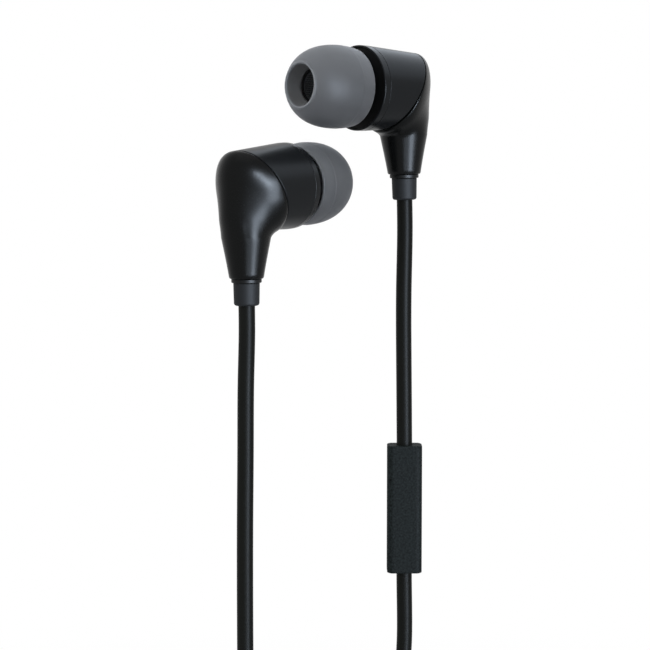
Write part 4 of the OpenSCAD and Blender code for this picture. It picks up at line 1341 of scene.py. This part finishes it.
def carried_round(path, section, level):
    """A section (outwards, up) carried round a level, closed, anticlockwise path at a height."""
    along = np.roll(path, -1, axis=0) - np.roll(path, 1, axis=0)
    along /= np.linalg.norm(along, axis=1, keepdims=True)
    out = np.stack([along[:, 1], -along[:, 0]], 1)
    flat = path[:, None] + out[:, None] * section[None, :, :1]
    height = np.broadcast_to(level + section[:, 1], flat.shape[:2])
    return loft(np.concatenate([flat, height[..., None]], -1), closed=True)


def tie_shape():
    """The strap: a thin slab's section carried round the hank's waist and the splitter."""
    out = FIT + TIE_WALL / 2
    waist = float(run_x(TIE_H / 2)) + LAYER_STEP + CORD_R + out
    back, front = HANK_D / 2 + out, SPLITTER_Y - SPLITTER_D / 2 - out
    turn_in, splitter_w = -HANK_D / 2 - 0.2, SPLITTER_W / 2 + out
    corners = [
        (waist, turn_in, TIE_CORNER),
        (waist, back, TIE_BACK_CORNER),
        (-waist, back, TIE_BACK_CORNER),
        (-waist, turn_in, TIE_CORNER),
        (-splitter_w, front, TIE_FRONT_CORNER),
        (splitter_w, front, TIE_FRONT_CORNER),
    ]
    section = slab_outline(TIE_WALL, TIE_H, TIE_ROUND, 5)
    return carried_round(rounded(corners, steps=8), section, HANK_Z)


def splitter_beads():
    """The beads round the two cords on the splitter's top and round the one at its base."""
    middle, ring = np.array([0, SPLITTER_Y]), circle(BEAD_R, 14)
    oval = stadium(2 * BEAD_AT, 2 * BEAD_AT + CORD_APART, 72)[:, ::-1]
    upper = carried_round(oval + middle, ring, SPLITTER_TOP)
    return joined(upper, carried_round(circle(BEAD_AT, 48) + middle, ring, SPLITTER_BASE))


splitter = shown("y_splitter", splitter_shape(), "splitter_rubber")
piece("y_splitter_beads_shown", splitter_beads(), "splitter_rubber")
shown("hank_tie", tie_shape(), "tie_strap")


# ---- Plug ----

GROOVE_WAVES, GROOVE_START, GROOVE_SPAN, GROOVE_DEPTH = 5, 0.12, (0.1, 0.88), 0.32
RELIEF_BASE_R, RELIEF_END_R = GRIP_R - 0.5, CORD_R + 0.55
GRIP_WAIST, GRIP_LOW_ROUND, GRIP_HIGH_ROUND = 0.12, 0.5, 0.6
GRIP_RINGS, GRIP_RING_W, GRIP_RING_DEPTH = (1.6, 2.3, 3.0), 0.12, 0.12
CONTACT_ROUND = 0.06
TIP_BULGE_R, TIP_NECK_R, TIP_FLANGE_R = 1.72, 1.12, 1.7


def on_plug(name, outline, slot, closed=True):
    """A turned piece on the plug's axis, in place of the node of that name."""
    points, faces = lathed(outline, PLUG_AROUND, closed)
    return shown(name, (points + np.array([PLUG_X, PLUG_Y, 0]), faces), slot)


def relief_outline():
    """The strain relief: a taper from the grip to the cord, cut by four flexing grooves.

    radius = taper - GROOVE_DEPTH x the square root of a cosine where it is above 0, which has
    GROOVE_WAVES waves in the length and counts within GROOVE_SPAN
    """
    z = np.linspace(GRIP_TOP, RELIEF_TOP, 90)
    share = (z - GRIP_TOP) / (RELIEF_TOP - GRIP_TOP)
    taper = RELIEF_BASE_R + (RELIEF_END_R - RELIEF_BASE_R) * share
    wave = np.clip(np.cos(2 * np.pi * (share - GROOVE_START) * GROOVE_WAVES), 0, 1) ** 0.5
    cut = wave * ((share > GROOVE_SPAN[0]) & (share < GROOVE_SPAN[1]))
    side = np.stack([taper - GROOVE_DEPTH * cut, z], 1)
    return np.vstack([[(CORD_HOLE_R, GRIP_TOP + 0.01)], side, [(CORD_HOLE_R, RELIEF_TOP)]])


def grip_outline():
    """The grip: soft ends, a shallow waist and three fine rings near its base.

    radius = GRIP_R - GRIP_WAIST x sin^2(pi x share of the length)
             - GRIP_RING_DEPTH x exp(-(distance from a ring / GRIP_RING_W)^2) for each ring
    """
    low_z, high_z = GRIP_BASE + GRIP_LOW_ROUND, GRIP_TOP - GRIP_HIGH_ROUND
    low_r, high_r = GRIP_R - GRIP_LOW_ROUND, GRIP_R - GRIP_HIGH_ROUND
    z = np.linspace(low_z, high_z, 160)
    share = (z - GRIP_BASE) / (GRIP_TOP - GRIP_BASE)
    r = GRIP_R - GRIP_WAIST * np.sin(np.pi * share) ** 2
    for ring in GRIP_RINGS:
        r = r - GRIP_RING_DEPTH * np.exp(-(((z - GRIP_BASE - ring) / GRIP_RING_W) ** 2))
    a = np.linspace(0, np.pi / 2, 8)
    low = circle_points(low_r, low_z, GRIP_LOW_ROUND, a - np.pi / 2)
    high = circle_points(high_r, high_z, GRIP_HIGH_ROUND, a)
    hole = JACK_CORE_R + FIT
    side = np.stack([r, z], 1)[2:-2]
    return np.vstack([[(hole, GRIP_BASE)], low, side, high, [(hole, GRIP_TOP)]])


def contact_outline(top, length):
    """A jack contact: a short tube with soft edges."""
    bore, base = JACK_CORE_R + FIT, top - length
    outer = [(JACK_R, base, CONTACT_ROUND), (JACK_R, top, CONTACT_ROUND)]
    return rounded([(bore, base, 0), *outer, (bore, top, 0)], 4, 0.02)


def jack_tip_outline(top):
    """The jack's tip: a blunt nose that swells to a bulge, the neck behind it, and a flange."""
    end = top - JACK_TIP
    return rounded(
        [
            (0.0, end, 0),
            (0.62, end, 0.3),
            (1.05, end + 0.4, 0.3),
            (TIP_BULGE_R, end + 1.65, 0.25),
            (TIP_BULGE_R, end + 2.0, 0.2),
            (TIP_NECK_R, end + 2.75, 0.25),
            (TIP_NECK_R, top - 0.6, 0.2),
            (TIP_FLANGE_R, top - 0.05, 0.05),
            (TIP_FLANGE_R, top, 0.03),
            (0.0, top, 0),
        ],
        5,
    )


relief = on_plug("plug_strain_relief", relief_outline(), "grip_matte")
grip = on_plug("plug_grip", grip_outline(), "grip_matte")
contact_top = GRIP_BASE - FIT
for contact, length in (
    ("jack_sleeve", JACK_SLEEVE),
    ("jack_ring_2", JACK_RING),
    ("jack_ring_1", JACK_RING),
):
    on_plug(contact, contact_outline(contact_top, length), "jack_gold")
    contact_top -= length + JACK_GAP
on_plug("jack_tip", jack_tip_outline(contact_top), "jack_gold", closed=False)

# ---- The cords in place ----


def lay_cord(node, line, also_replaces=()):
    """A round cord along a line in place of a node.
    """
    shape = loft(swept(line, circle(CORD_R, CORD_AROUND)))
    obj = piece(f"{node}_shown", shape, "cord_jacket", [node, *also_replaces])


lay_cord("left_cord", left_cord_line())
lay_cord("right_upper_cord", right_upper_line())
lay_cord("right_lower_cord", right_lower_line())
lay_cord("main_cord", main_cord_line(), ["cord_hank"])

# ---- Materials of the nodes that stay ----

NODE_SLOTS = {
    "driver_frame": "frame_grey",
    "yoke": "pole_steel",
    "magnet": "magnet_plated",
    "top_plate": "pole_steel",
    "voice_coil": "copper_wire",
    "diaphragm": "cone_film",
    "terminal_board": "board_green",
    "lead_wires": "lead_red",
    "cord_crimp": "crimp_metal",
    "remote_circuit_board": "board_green",
    "remote_switch": "switch_cream",
    "microphone_capsule": "capsule_metal",
    "remote_cord_crimps": "crimp_metal",
    "plug_core": "core_white",
    "jack_insulators": "insulator_black",
}
for name, obj in frame["nodes"].items():
    kind = name.split("_", 1)[1] if name.startswith(("right_", "left_")) else name
    if kind in NODE_SLOTS:
        obj.data.materials.clear()
        obj.data.materials.append(MATERIALS[NODE_SLOTS[kind]])

# ---- Stage, lights and camera, in metres ----

FLOOR_Z, FLOOR_R = -0.1995, 3.0
FLOOR_FADE = (0.12, 0.5)
FLOOR_PALE, FLOOR_GREY = (0.9, 0.9, 0.9, 1), (0.4, 0.4, 0.41, 1)
WORLD_COLOUR, WORLD_DIM = (0.93, 0.96, 1.0, 1), 0.88
WHITE, COOL = (1.0, 1.0, 1.0), (0.74, 0.85, 1.0)
MIDDLE = (0, 0, -0.015)
CAMERA_AT, CAMERA_PITCH = (-0.00068, -0.29823, -0.00911), 85.0
CAMERA_LENS, CAMERA_SENSOR = 111.49, 36.0


def shown_ray(tree):
    """1 for the rays that show a surface as it is, which are camera, glossy and transmission rays.

    It is 0 for diffuse rays.
    """
    rays = tree.nodes.new("ShaderNodeLightPath").outputs
    mirrored = maths(tree, "ADD", rays["Is Glossy Ray"], rays["Is Transmission Ray"])
    total = maths(tree, "ADD", rays["Is Camera Ray"], mirrored)
    total.node.use_clamp = True
    return total


def mixed(tree, share, first, second):
    """A shader that is `first` where the share is 0 and `second` where it is 1."""
    node = tree.nodes.new("ShaderNodeMixShader")
    feed(tree, node, {"Fac": share, 1: first, 2: second})
    return node.outputs["Shader"]


def simple_shader(tree, kind, values):
    """A shader of one kind with its values set."""
    node = tree.nodes.new(kind)
    feed(tree, node, values)
    return node.outputs[0]


def floor_material():
    """The floor's paint: pale near the object, where it takes the shadow, and white at its rim.

    whiteness = smooth step of the distance from the middle, between FLOOR_FADE's two values
    Rays that leave a matt surface meet a grey floor, so that it throws little light back up.
    """
    material = bpy.data.materials.new("floor_pale")
    material.use_nodes = True
    tree = material.node_tree
    tree.nodes.clear()
    place = tree.nodes.new("ShaderNodeTexCoord")
    level = tree.nodes.new("ShaderNodeVectorMath")
    level.operation = "MULTIPLY"
    feed(tree, level, {0: place.outputs["Object"], 1: (1.0, 1.0, 0.0)})
    away = tree.nodes.new("ShaderNodeVectorMath")
    away.operation = "LENGTH"
    feed(tree, away, {0: level.outputs["Vector"]})
    fade = tree.nodes.new("ShaderNodeMapRange")
    fade.interpolation_type = "SMOOTHSTEP"
    span = {"From Min": FLOOR_FADE[0], "From Max": FLOOR_FADE[1]}
    feed(tree, fade, {"Value": away.outputs["Value"], **span})
    pale = simple_shader(tree, "ShaderNodeBsdfDiffuse", {"Color": FLOOR_PALE})
    grey = simple_shader(tree, "ShaderNodeBsdfDiffuse", {"Color": FLOOR_GREY})
    white = simple_shader(tree, "ShaderNodeEmission", {"Strength": 1.0})
    seen = mixed(tree, fade.outputs["Result"], pale, white)
    out = tree.nodes.new("ShaderNodeOutputMaterial")
    feed(tree, out, {"Surface": mixed(tree, shown_ray(tree), grey, seen)})
    return material


def floor():
    """A plain round floor just under the plug, wide enough to run into the white behind it."""
    ring = revolved([(FLOOR_R, FLOOR_Z)], FLOOR_AROUND)[0]
    mesh = bpy.data.meshes.new("floor")
    mesh.from_pydata(ring.tolist(), [], [list(range(len(ring)))])
    mesh.materials.append(floor_material())
    add("floor", mesh)


def world():
    """A white studio where it is seen or mirrored, and a dim light all round for matt surfaces."""
    studio = bpy.data.worlds.new("studio")
    bpy.context.scene.world = studio
    studio.use_nodes = True
    tree = studio.node_tree
    tree.nodes.clear()
    kind = "ShaderNodeBackground"
    dim = simple_shader(tree, kind, {"Color": WORLD_COLOUR, "Strength": WORLD_DIM})
    white = simple_shader(tree, kind, {"Color": (*WHITE, 1)})
    out = tree.nodes.new("ShaderNodeOutputWorld")
    feed(tree, out, {"Surface": mixed(tree, shown_ray(tree), dim, white)})


def toward(azimuth, elevation, distance):
    """A point at an angle from -Y towards +X, an angle above level, and a distance from MIDDLE."""
    a, e = math.radians(azimuth), math.radians(elevation)
    return (
        distance * math.cos(e) * math.sin(a),
        -distance * math.cos(e) * math.cos(a),
        distance * math.sin(e) + MIDDLE[2],
    )


def light(name, place, size, power, colour=WHITE, along=(0, 0, 1), matt=True, gloss=True):
    """A soft rectangular light, turned towards the earphones, its height laid along a direction.

    It isn't seen by the camera. It lights matt surfaces, shows in glossy ones, or does both.
    """
    data = bpy.data.lights.new(name, "AREA")
    data.shape = "RECTANGLE"
    data.size, data.size_y = size
    data.energy = power
    data.color = colour
    obj = add(name, data)
    back = (Vector(place) - Vector(MIDDLE)).normalized()
    across = Vector(along).cross(back).normalized()
    turned = Matrix((across, back.cross(across), back)).transposed().to_4x4()
    obj.matrix_world = Matrix.Translation(place) @ turned
    obj.visible_camera = False
    obj.visible_diffuse, obj.visible_glossy = matt, gloss


def camera():
    """The camera that the pictures are made with."""
    data = bpy.data.cameras.new("camera")
    data.lens, data.sensor_width = CAMERA_LENS, CAMERA_SENSOR
    data.clip_start, data.clip_end = 0.01, 20.0
    obj = add("camera", data)
    obj.location = CAMERA_AT
    obj.rotation_euler = (math.radians(CAMERA_PITCH), 0, 0)
    bpy.context.scene.camera = obj


floor()
world()
light("overhead", toward(-20, 70, 0.45), (0.35, 0.35), 0.2)
light("key_left", toward(-35, 10, 0.6), (0.5, 0.5), 1.2, gloss=False)
light("softbox_low", toward(34, -28, 0.4), (0.5, 0.09), 2.5, COOL, matt=False)
light("softbox_high", toward(43, -10, 0.4), (0.14, 0.24), 3.6, COOL, matt=False)
light("strip", toward(26, 5, 0.4), (0.022, 0.22), 3.4, COOL, (0.5, 0.2, -0.55), matt=False)
light("side", toward(132, 38, 0.45), (0.65, 0.22), 0.8, COOL, matt=False)
camera()
bpy.context.scene.view_settings.view_transform = "Standard"
